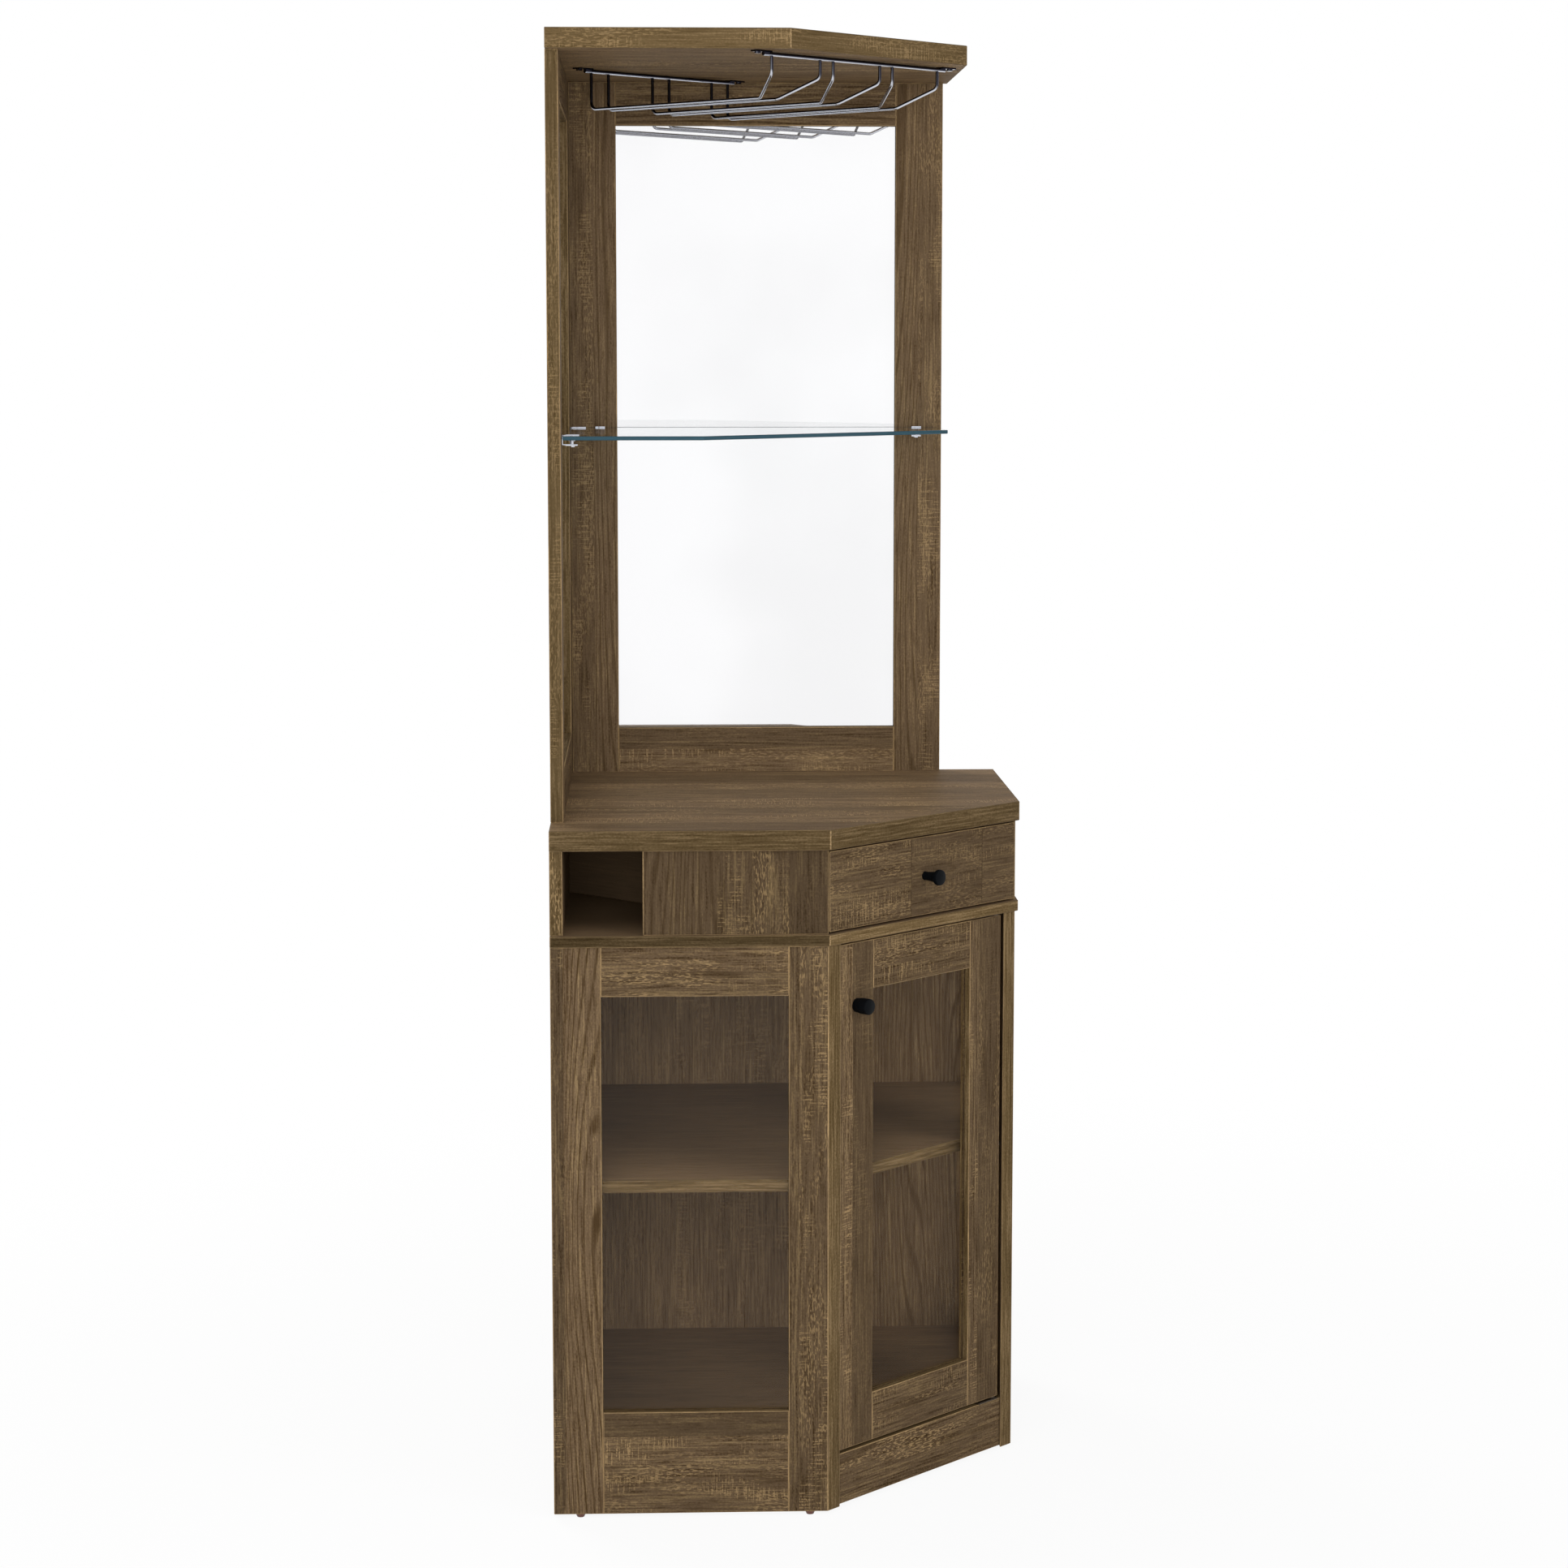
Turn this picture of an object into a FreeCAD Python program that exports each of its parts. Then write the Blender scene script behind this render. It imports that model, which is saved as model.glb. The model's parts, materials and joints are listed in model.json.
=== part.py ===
import FreeCAD, Part
import math
import os
import re

import Sketcher
from FreeCAD import Placement, Rotation, Vector

# A corner bar cabinet. Its plan is a square with one corner cut off at 45 degrees.
# The back corner of the square stands in the corner of a room: the left wall is at -X, the right wall
# at +Y, and the cut corner, with the door and the drawer, faces +X -Y. Millimetres, +Z up.

SIZES = {
    # Overall plan and levels
    "plan_width": 603,
    "side_share": 0.57048,
    "total_height": 1835,
    "counter_height": 866,
    "counter_thickness": 25,
    "counter_overhang": 5,
    "tier_height": 105,
    "middle_thickness": 14,
    "middle_overhang": 4,
    "floor_height": 72,
    "shelf_share": 0.54308,
    "board_thickness": 16,
    # Glazed frames
    "frame_width": 62,
    "corner_stile_width": 49,
    "base_rail_height": 130,
    "pane_thickness": 4,
    "pane_clearance": 0.2,
    "groove_depth": 8,
    "groove_inset": 8,
    "joint_clearance": 0.1,
    # Door
    "door_recess": 3,
    "door_side_gap": 2,
    "door_hinge_gap": 2.2,
    "door_top_gap": 3,
    "door_bottom_gap": 4,
    "door_knob_drop": 79,
    "plinth_recess": 2.5,
    "plinth_lift": 2,
    "pivot_inset": 8,
    "pivot_depth": 5,
    "pivot_pin_diameter": 5,
    "pivot_pin_reach": 11,
    "pivot_clearance": 0.05,
    "bush_diameter": 8,
    "bush_length": 12,
    "bush_flange_diameter": 11,
    "bush_flange_thickness": 1,
    "pivot_plate_setback": 1,
    "pivot_plate_length": 38,
    "pivot_plate_width": 12,
    "pivot_plate_thickness": 1.5,
    "catch_length": 44,
    "catch_depth": 14,
    "catch_height": 20,
    "strike_length": 32,
    "strike_height": 12,
    "strike_thickness": 1.2,
    "catch_gap": 0.3,
    # Drawer tier
    "bottle_bay_width": 98,
    "drawer_gap": 2.5,
    "drawer_side_margin": 41,
    "drawer_back_space": 123,
    "drawer_side_thickness": 12,
    "drawer_top_space": 20,
    "drawer_lift": 13,
    "drawer_bottom_thickness": 4,
    "drawer_bottom_inset": 8,
    "drawer_groove_depth": 6,
    "slide_space": 12.7,
    "slide_height": 21,
    "slide_wall": 1.2,
    "slide_flange": 10,
    "slide_running_gap": 0.3,
    # Cabinet shelf, pins and glides
    "shelf_clearance": 2,
    "shelf_side_setback": 5,
    "shelf_front_setback": 32,
    "pin_diameter": 5,
    "pin_reach": 10,
    "pin_depth": 8,
    "pin_back_inset": 110,
    "pin_front_setback": 128,
    "pin_stile_inset": 24,
    "glide_height": 5,
    "glide_diameter": 14,
    "glide_foot_diameter": 9,
    "glide_wall_inset": 33,
    "glide_corner_inset": 22,
    "glide_back_inset": 40,
    # Hutch
    "hutch_setback": 77,
    "hutch_thickness": 16,
    "hutch_stile_width": 64,
    "hutch_bottom_rail": 62,
    "hutch_top_rail": 58,
    "mirror_thickness": 4,
    "mirror_overlap": 8,
    "backing_thickness": 3,
    "top_overhang": 7,
    "top_side_share": 0.5591,
    "top_thickness": 25,
    "dowel_diameter": 8,
    "dowel_length": 32,
    # Glass shelf and its clips
    "glass_shelf_share": 0.5053,
    "glass_shelf_thickness": 5,
    "glass_end_gap": 6,
    "glass_side_setback": 107,
    "clip_width": 13,
    "clip_plate": 2,
    "clip_lip": 1.5,
    "clip_lip_reach": 22,
    "clip_arm": 2,
    "clip_arm_reach": 20,
    "clip_screw_space": 5,
    "clip_screw_inset": 7,
    "clip_screw_diameter": 4,
    "clip_screw_head": 7,
    "clip_screw_head_height": 2,
    "clip_pad_diameter": 8,
    "clip_pad_thickness": 1.2,
    "clip_corner_inset": 57,
    "clip_end_inset": 36,
    # Stemware rack
    "rack_front_setback": 41.6,
    "rack_end_space": 26.8,
    "rack_bar_margin": 25,
    "rack_rear_margin": 21.5,
    "rack_wall_space": 28.4,
    "rack_bar_diameter": 5,
    "rack_wire_diameter": 4,
    "rack_lane_gap": 31,
    "rack_mouth_gap": 24,
    "rack_drop": 52,
    "rack_mouth_drop": 27,
    "rack_mouth_length": 46,
    "rack_bend_radius": 9,
    "rack_weld_gap": 0.1,
    "rack_tab_length": 20,
    "rack_tab_width": 12,
    "rack_tab_thickness": 2,
    "rack_screw_diameter": 4,
    "rack_screw_length": 14,
    "rack_screw_head": 8,
    "rack_screw_head_height": 2,
    # Knobs
    "knob_head_diameter": 20,
    "knob_neck_diameter": 11.5,
    "knob_throat_diameter": 13.5,
    "knob_length": 27,
    "knob_head_thickness": 7,
    "knob_edge": 1.5,
    "drum_diameter": 20,
    "drum_length": 22,
    "drum_waist": 1,
    "drum_waist_length": 7,
    "knob_stud_diameter": 4,
    "knob_stud_length": 14,
}

RACK_LANES = (-1, 0, 1)
BOTH_SIDES = (-1, 1)
PEG_SIDES = 8
BORE_SIDES = 12
WIRE_SIDES = 12
BEND_CHORDS = 3

# Names for lengths that follow from the sizes above.
DERIVED = {
    "half_plan": "plan_width / 2",
    "side_length": "plan_width * side_share",
    "case_width": "plan_width - counter_overhang",
    "case_sum": "plan_width + side_length - counter_overhang * sqrt(2)",
    "case_side": "case_sum - case_width",
    "case_distance": "case_sum / sqrt(2)",
    "half_diagonal": "(case_width - case_side) / sqrt(2)",
    "mitre_run": "board_thickness * tan(22.5 deg)",
    "counter_underside": "counter_height - counter_thickness",
    "middle_height": "counter_underside - tier_height",
    "case_top": "middle_height - middle_thickness",
    "case_height": "case_top - glide_height",
    "groove_width": "pane_thickness + 2 * pane_clearance",
    "groove_back": "groove_inset + groove_width",
    "tenon_thickness": "groove_width - 2 * joint_clearance",
    "tenon_reach": "groove_depth - joint_clearance",
    "pane_lap": "groove_depth - 2 * pane_clearance",
    "side_window_start": "frame_width",
    "side_window_end": "case_side - corner_stile_width",
    "side_window_bottom": "glide_height + base_rail_height",
    "side_window_top": "case_top - frame_width",
    "opening_half": "half_diagonal - board_thickness * sqrt(2)",
    "door_left": "door_side_gap - opening_half",
    "door_right": "opening_half - door_hinge_gap",
    "door_bottom": "floor_height + door_bottom_gap",
    "door_top": "case_top - door_top_gap",
    "door_back": "door_recess + board_thickness",
    "knob_stile_middle": "door_left + frame_width / 2",
    "door_knob_height": "door_top - door_knob_drop",
    "pivot_u": "door_right - pivot_inset",
    "pivot_n": "door_recess + pivot_depth",
    "bush_radius": "bush_diameter / 2",
    "drawer_half": "half_diagonal - drawer_side_margin",
    "partition_face": "drawer_half + slide_space",
    "wall_corner": "board_thickness * sqrt(2)",
    "drawer_back_end": "case_distance - partition_face - wall_corner - drawer_back_space",
    "drawer_depth": "drawer_back_end - board_thickness",
    "drawer_bottom": "middle_height + drawer_lift",
    "drawer_side_height": "tier_height - drawer_lift - drawer_top_space",
    "slide_middle": "drawer_bottom + drawer_side_height / 3",
    "shelf_height": "floor_height + (case_top - floor_height) * shelf_share",
    "shelf_underside": "shelf_height - board_thickness",
    "pin_front_inset": "case_width - pin_front_setback",
    "hutch_width": "plan_width - hutch_setback",
    "hutch_top": "total_height - top_thickness",
    "hutch_height": "hutch_top - counter_height",
    "mirror_start": "hutch_thickness + hutch_stile_width",
    "mirror_end": "hutch_width - hutch_stile_width",
    "mirror_bottom": "counter_height + hutch_bottom_rail",
    "mirror_top": "hutch_top - hutch_top_rail",
    "rebate_depth": "mirror_thickness + backing_thickness",
    "rebate_start": "hutch_thickness - rebate_depth",
    "mirror_lap": "mirror_overlap - 2 * pane_clearance",
    "glass_start": "hutch_thickness + clip_plate + pane_clearance",
    "glass_shelf_height": "counter_height + hutch_height * glass_shelf_share",
    "glass_shelf_reach": "hutch_width - glass_end_gap",
    "glass_shelf_side": "top_side_length - glass_side_setback",
    "top_width": "hutch_width + top_overhang",
    "top_side_length": "top_width * top_side_share",
    "rack_front_distance": "(top_width + top_side_length) / sqrt(2) - rack_front_setback",
    "rack_front_length": "2 * (top_width * sqrt(2) - rack_front_distance - rack_end_space)",
    "rack_lane_pitch": f"(rack_front_length + rack_mouth_gap - 2 * rack_bar_margin) / {len(RACK_LANES)}",
    "rack_mouth_width": "rack_lane_pitch - rack_mouth_gap",
    "rack_rear_length": "2 * rack_lane_pitch + rack_lane_gap + 2 * rack_rear_margin",
    "rack_rear_distance": "rack_rear_length / 2 + hutch_thickness * sqrt(2) + rack_wall_space",
    "bar_axis_height": "hutch_top - (rack_tab_thickness + rack_bar_diameter) / 2",
}

doc = FreeCAD.newDocument("corner_bar_cabinet")
sheet = doc.addObject("Spreadsheet::Sheet", "Sizes")
for row, (alias, number) in enumerate(SIZES.items(), start=1):
    sheet.set(f"A{row}", str(number))
    sheet.setAlias(f"A{row}", alias)
doc.recompute()

subparts = {}


def formula(text):
    """Write a formula of size names as an expression on the sheet's cells."""
    def cell(match):
        word = match.group(0)
        if word in DERIVED:
            return f"({formula(DERIVED[word])})"
        return f"Sizes.{word}" if word in SIZES else word

    return re.sub(r"[a-z_]+", cell, str(text))


def value(text):
    return float(sheet.evalExpression(formula(text)))


def bind(item, prop, text):
    item.setExpression(prop, formula(text))


def name_part(label, item):
    """Mark an object as a finished sub-part, under the name of its file."""
    item.Label = label
    subparts[label] = item
    return item


# Places. Each frame has a corner and a turn about Z. Its u axis runs along the face and its n axis
# runs from the face into the piece behind it.
FRAMES = {
    "model": ("0", "0", 0),
    "left_side": ("-half_plan", "half_plan - case_width", 0),
    "right_side": ("case_width - half_plan", "half_plan", 90),
    "left_hutch": ("hutch_thickness - half_plan", "half_plan", 90),
    "right_hutch": ("-half_plan", "half_plan - hutch_thickness", 0),
    "left_wall": ("board_thickness - half_plan", "half_plan", 90),
    "right_wall": ("-half_plan", "half_plan - board_thickness", 0),
    "diagonal": ("case_sum / 2 - half_plan", "half_plan - case_sum / 2", 45),
}


def world(frame, u, n):
    """Formulas for the X and Y of a point given in a frame."""
    x, y, turn = FRAMES[frame]
    if turn == 90:
        return f"{x} - ({n})", f"{y} + ({u})"
    if turn == 45:
        return f"{x} + (({u}) - ({n})) / sqrt(2)", f"{y} + (({u}) + ({n})) / sqrt(2)"
    return f"{x} + ({u})", f"{y} + ({n})"


def place(item, frame, u, n, z, tilt=None):
    """Put an object at a point of a frame, turned with the frame after an optional tilt."""
    turn = Rotation(Vector(0, 0, 1), FRAMES[frame][2])
    item.Placement = Placement(Vector(), turn * tilt if tilt else turn)
    x, y = world(frame, u, n)
    bind(item, "Placement.Base.x", x)
    bind(item, "Placement.Base.y", y)
    bind(item, "Placement.Base.z", z)
    return item


def outline(body, role, corners):
    """A closed sketch on one of the body's origin planes, with each corner tied to the sheet."""
    sketch = body.newObject("Sketcher::SketchObject", f"{body.Name}_outline")
    plane = next(item for item in body.Origin.OriginFeatures if item.Role == role)
    sketch.AttachmentSupport = [(plane, "")]
    sketch.MapMode = "FlatFace"
    points = [Vector(value(x), value(y), 0) for x, y in corners]
    count = len(points)
    for index in range(count):
        sketch.addGeometry(Part.LineSegment(points[index], points[(index + 1) % count]), False)
    for index in range(count):
        sketch.addConstraint(Sketcher.Constraint("Coincident", index, 2, (index + 1) % count, 1))
    for index, corner in enumerate(corners):
        pairs = zip(("DistanceX", "DistanceY"), corner, (points[index].x, points[index].y))
        for kind, text, start in pairs:
            number = sketch.addConstraint(Sketcher.Constraint(kind, -1, 1, index, 1, start))
            bind(sketch, f"Constraints[{number}]", text)
    return sketch


def pad(body, role, corners, length, both_ways=False):
    feature = body.newObject("PartDesign::Pad", f"{body.Name}_pad")
    feature.Profile = outline(body, role, corners)
    if both_ways:
        feature.SideType = "Symmetric"
    bind(feature, "Length", length)
    return feature


def prism(name, corners, frame, bottom, height, u="0", n="0"):
    """An upright board: an outline in a frame's u and n, raised by its height."""
    body = doc.addObject("PartDesign::Body", name)
    pad(body, "XY_Plane", corners, height)
    return place(body, frame, u, n, bottom)


def rod(name, diameter, length, frame, u, n, z, tilt=None):
    """A round bar that starts at a point of a frame. It stands upright unless it is tilted."""
    item = doc.addObject("Part::Cylinder", name)
    bind(item, "Radius", f"({diameter}) / 2")
    bind(item, "Height", length)
    return place(item, frame, u, n, z, tilt)


def peg(name, diameter, length, frame, u, n, z, tilt=None, sides=PEG_SIDES):
    """A hidden pin or bore with flat sides, its corners on the given diameter."""
    item = doc.addObject("Part::Prism", name)
    item.Polygon = sides
    bind(item, "Circumradius", f"({diameter}) / 2")
    bind(item, "Height", length)
    return place(item, frame, u, n, z, tilt)


def shank_bore(name, diameter, length, frame, u, n, z, tilt=None):
    """A bore for a round shank of the given diameter: it has more sides, so its flats clear the shank."""
    bore = f"{diameter} + 2 * joint_clearance"
    return peg(name, bore, length, frame, u, n, z, tilt, BORE_SIDES)


def group(name, items):
    item = doc.addObject("Part::Compound", name)
    item.Links = items
    return item


def cut(name, base, tools):
    """A piece with holes: the tools are taken out of the base."""
    item = doc.addObject("Part::Cut", name)
    item.Base = base
    item.Tool = tools[0] if len(tools) == 1 else group(f"{name}_tools", tools)
    return item


def turned(name, profile, frame, u, n, z, tilt=None):
    """A turned piece: radius and height pairs swung about the upright axis."""
    body = doc.addObject("PartDesign::Body", name)
    sketch = outline(body, "XZ_Plane", profile)
    feature = body.newObject("PartDesign::Revolution", f"{name}_turning")
    feature.Profile = sketch
    feature.ReferenceAxis = (sketch, ["V_Axis"])
    return place(body, frame, u, n, z, tilt)


ALONG_U = Rotation(Vector(0, 1, 0), 90)
ALONG_N = Rotation(Vector(1, 0, 0), -90)
OUT_OF_FACE = Rotation(Vector(1, 0, 0), 90)
UPSIDE_DOWN = Rotation(Vector(1, 0, 0), 180)


# Boards cut to a plan outline. Points are the distances from the left and the right wall.
def from_walls(corners):
    return [(f"({a}) - half_plan", f"half_plan - ({b})") for a, b in corners]


def mirrored(corners):
    return [(b, a) for a, b in corners]


def five_sided(start, width, side):
    """A square from the walls with its front corner cut off."""
    near = [(start, start), (width, start), (width, side)]
    return from_walls(near + [(side, width), (start, width)])


def plan_board(name, corners, bottom, thickness):
    return prism(name, corners, "model", bottom, thickness)


# Frame members: grooved stiles and rails with stub tenons
def grooved_stile(inner, outer, outer_back):
    """Plan of a stile whose inner edge has the groove for the pane."""
    depth = f"({inner}) + groove_depth" if outer_is_after(inner, outer) else f"({inner}) - groove_depth"
    return [
        (inner, "0"), (outer, "0"), (outer_back, "board_thickness"), (inner, "board_thickness"),
        (inner, "groove_back"), (depth, "groove_back"), (depth, "groove_inset"), (inner, "groove_inset"),
    ]


def outer_is_after(inner, outer):
    return value(outer) > value(inner)


def grooved_rail(name, frame, start, end, inner, outer, recess="0"):
    """A rail between two stiles: inner and outer are the heights of its edges, inner by the pane."""
    sign = "+" if outer_is_after(inner, outer) else "-"
    depth = f"({inner}) {sign} groove_depth"
    body = doc.addObject("PartDesign::Body", name)
    section = [
        ("0", inner), ("0", outer), ("board_thickness", outer), ("board_thickness", inner),
        ("groove_back", inner), ("groove_back", depth), ("groove_inset", depth), ("groove_inset", inner),
    ]
    pad(body, "YZ_Plane", section, f"({end}) - ({start})", both_ways=True)
    front = "groove_inset + joint_clearance"
    back = "groove_back - joint_clearance"
    tenon = [(front, depth), (front, outer), (back, outer), (back, depth)]
    pad(body, "YZ_Plane", tenon, f"({end}) - ({start}) + 2 * tenon_reach", both_ways=True)
    return place(body, frame, f"(({start}) + ({end})) / 2", recess, "0")


def pane(name, frame, start, end, bottom, top, recess="0"):
    """A sheet of glass with its edges in the grooves around the window."""
    front = "groove_inset + pane_clearance"
    back = "groove_inset + pane_clearance + pane_thickness"
    left, right = f"({start}) - pane_lap", f"({end}) + pane_lap"
    sheet_outline = [(left, front), (right, front), (right, back), (left, back)]
    height = f"({top}) - ({bottom}) + 2 * pane_lap"
    return prism(name, sheet_outline, frame, f"({bottom}) - pane_lap", height, n=recess)


def reversed_u(corners):
    return [(f"-({u})", n) for u, n in corners]


def shelf_pin(name, frame, u, n="0", tilt=ALONG_N):
    """A pin under the shelf, set in a wall or a stile."""
    z = "shelf_underside - pin_diameter / 2"
    return peg(name, "pin_diameter", "pin_reach + pin_depth", frame, u, n, z, tilt)


def pin_hole(name, frame, u, n, tilt=ALONG_N):
    z = "shelf_underside - pin_diameter / 2"
    bore = "pin_diameter + 2 * joint_clearance"
    return peg(name, bore, "pin_reach + pin_depth + joint_clearance", frame, u, n, z, tilt)


# Distances of the wall pins from the room corner.
WALL_PINS = ("pin_back_inset", "pin_front_inset")


def build_side(side):
    """The glazed frame on one side of the case, its wall and its part of the drawer tier."""
    frame = f"{side}_side"
    flip = reversed_u if side == "right" else list
    sign = "-" if side == "right" else ""
    wall_stile = flip(grooved_stile("side_window_start", "0", "0"))
    name_part(f"{side}_side_wall_stile",
              prism(f"{side}_side_wall_stile", wall_stile, frame, "glide_height", "case_height"))

    mitred = grooved_stile("side_window_end", "case_side", "case_side + board_thickness")
    stile = prism(f"{side}_corner_board", flip(mitred), frame, "glide_height", "case_height")
    pin_u = f"{sign}(case_side - pin_stile_inset)"
    hole = pin_hole(f"{side}_stile_hole", frame, pin_u, "board_thickness - pin_depth - joint_clearance")
    name_part(f"{side}_side_corner_stile", cut(f"{side}_side_corner_stile", stile, [hole]))
    stile_pin = shelf_pin(f"{side}_stile_pin", frame, pin_u, "board_thickness - pin_depth")

    span = ("side_window_start", "side_window_end")
    if side == "right":
        span = tuple(f"-({u})" for u in reversed(span))
    levels = {"top": ("side_window_top", "case_top"), "bottom": ("side_window_bottom", "glide_height")}
    for level, (inner, outer) in levels.items():
        label = f"{side}_side_{level}_rail"
        name_part(label, grooved_rail(label, frame, *span, inner, outer))
    side_pane = pane(f"{side}_pane", frame, *span, "side_window_bottom", "side_window_top")

    swap = mirrored if side == "right" else list
    corner_start = "board_thickness" if side == "right" else "0"
    wall_end = "case_width - board_thickness"
    wall = [("0", corner_start), ("board_thickness", corner_start), ("board_thickness", wall_end),
            ("0", wall_end)]
    wall_board = plan_board(f"{side}_wall_board", from_walls(swap(wall)), "glide_height", "case_height")
    wall_pins, wall_holes = [], []
    pin_frame = f"{side}_wall"
    for index, inset in enumerate(WALL_PINS):
        run = f"-({inset})" if side == "left" else inset
        wall_pins.append(shelf_pin(f"{side}_wall_pin_{index}", pin_frame, run, "-pin_reach"))
        wall_holes.append(pin_hole(f"{side}_wall_hole_{index}", pin_frame, run, "-pin_reach"))
    name_part(f"{side}_back_wall", cut(f"{side}_back_wall", wall_board, wall_holes))

    upper = [("0", corner_start), ("board_thickness", corner_start), ("board_thickness", "case_width"),
             ("0", "case_width")]
    label = f"{side}_upper_wall"
    name_part(label, plan_board(label, from_walls(swap(upper)), "middle_height", "tier_height"))

    bay_end = "board_thickness + bottle_bay_width"
    fixed_panel = [(bay_end, "0"), ("case_side", "0"), ("case_side - mitre_run", "board_thickness"),
                   (bay_end, "board_thickness")]
    label = f"{side}_fixed_panel"
    name_part(label, prism(label, flip(fixed_panel), frame, "middle_height", "tier_height"))

    partition_back = "partition_face + board_thickness"
    front_sum = "case_sum - (board_thickness + drawer_gap) * sqrt(2)"
    partition = []
    for face in ("partition_face", partition_back):
        run = f"({face}) * sqrt(2)"
        ends = [("board_thickness", f"board_thickness + {run}"),
                (f"(({front_sum}) - {run}) / 2", f"(({front_sum}) + {run}) / 2")]
        partition += ends if face == "partition_face" else reversed(ends)
    label = f"{side}_partition"
    name_part(label, plan_board(label, from_walls(swap(partition)), "middle_height", "tier_height"))
    return side_pane, [stile_pin] + wall_pins


def build_case():
    """The boards of the lower case, its side frames, the loose shelf, the pins and the glides."""
    panes, pins = [], []
    for side in ("left", "right"):
        side_pane, side_pins = build_side(side)
        panes.append(side_pane)
        pins += side_pins
    name_part("side_panes", group("side_panes", panes))
    name_part("shelf_pins", group("shelf_pins", pins))

    inner_end = "case_width - board_thickness"
    floor_sum = "case_sum - (plinth_recess + board_thickness) * sqrt(2)"
    floor = five_sided("board_thickness", inner_end, f"({floor_sum}) - ({inner_end})")
    floor_underside = "floor_height - board_thickness"
    name_part("bottom_board", plan_board("bottom_board", floor, floor_underside, "board_thickness"))

    shelf_end = f"{inner_end} - shelf_side_setback"
    shelf_sum = "case_sum - shelf_front_setback * sqrt(2)"
    shelf = five_sided("board_thickness + shelf_clearance", shelf_end, f"({shelf_sum}) - ({shelf_end})")
    name_part("cabinet_shelf", plan_board("cabinet_shelf", shelf, "shelf_underside", "board_thickness"))

    middle_end = "case_width + middle_overhang"
    middle_side = f"case_sum + middle_overhang * sqrt(2) - ({middle_end})"
    middle = five_sided("0", middle_end, middle_side)
    name_part("middle_board", plan_board("middle_board", middle, "case_top", "middle_thickness"))

    # The ends of the plinth run along the inner faces of the mitred corner stiles.
    plinth_back = "plinth_recess + board_thickness"
    front_end = "opening_half + plinth_recess"
    back_end = f"opening_half + {plinth_back}"
    plinth = [(f"-({front_end})", "plinth_recess"), (front_end, "plinth_recess"),
              (back_end, plinth_back), (f"-({back_end})", plinth_back)]
    plinth_bottom = "glide_height + plinth_lift"
    plinth_height = f"floor_height - ({plinth_bottom})"
    name_part("plinth", prism("plinth", plinth, "diagonal", plinth_bottom, plinth_height))

    dome = [("0", "0"), ("glide_foot_diameter / 2", "0"), ("glide_diameter / 2", "glide_height"),
            ("0", "glide_height")]
    middle_of_board = "board_thickness / 2"
    spots = [("left_side", "glide_wall_inset"), ("left_side", "case_side - glide_corner_inset"),
             ("right_side", "-glide_wall_inset"), ("right_side", "-(case_side - glide_corner_inset)"),
             ("left_wall", "-glide_back_inset"), ("right_wall", "glide_back_inset")]
    glides = [turned(f"glide_{index}", dome, frame, u, middle_of_board, "0")
              for index, (frame, u) in enumerate(spots)]
    name_part("floor_glides", group("floor_glides", glides))


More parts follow.
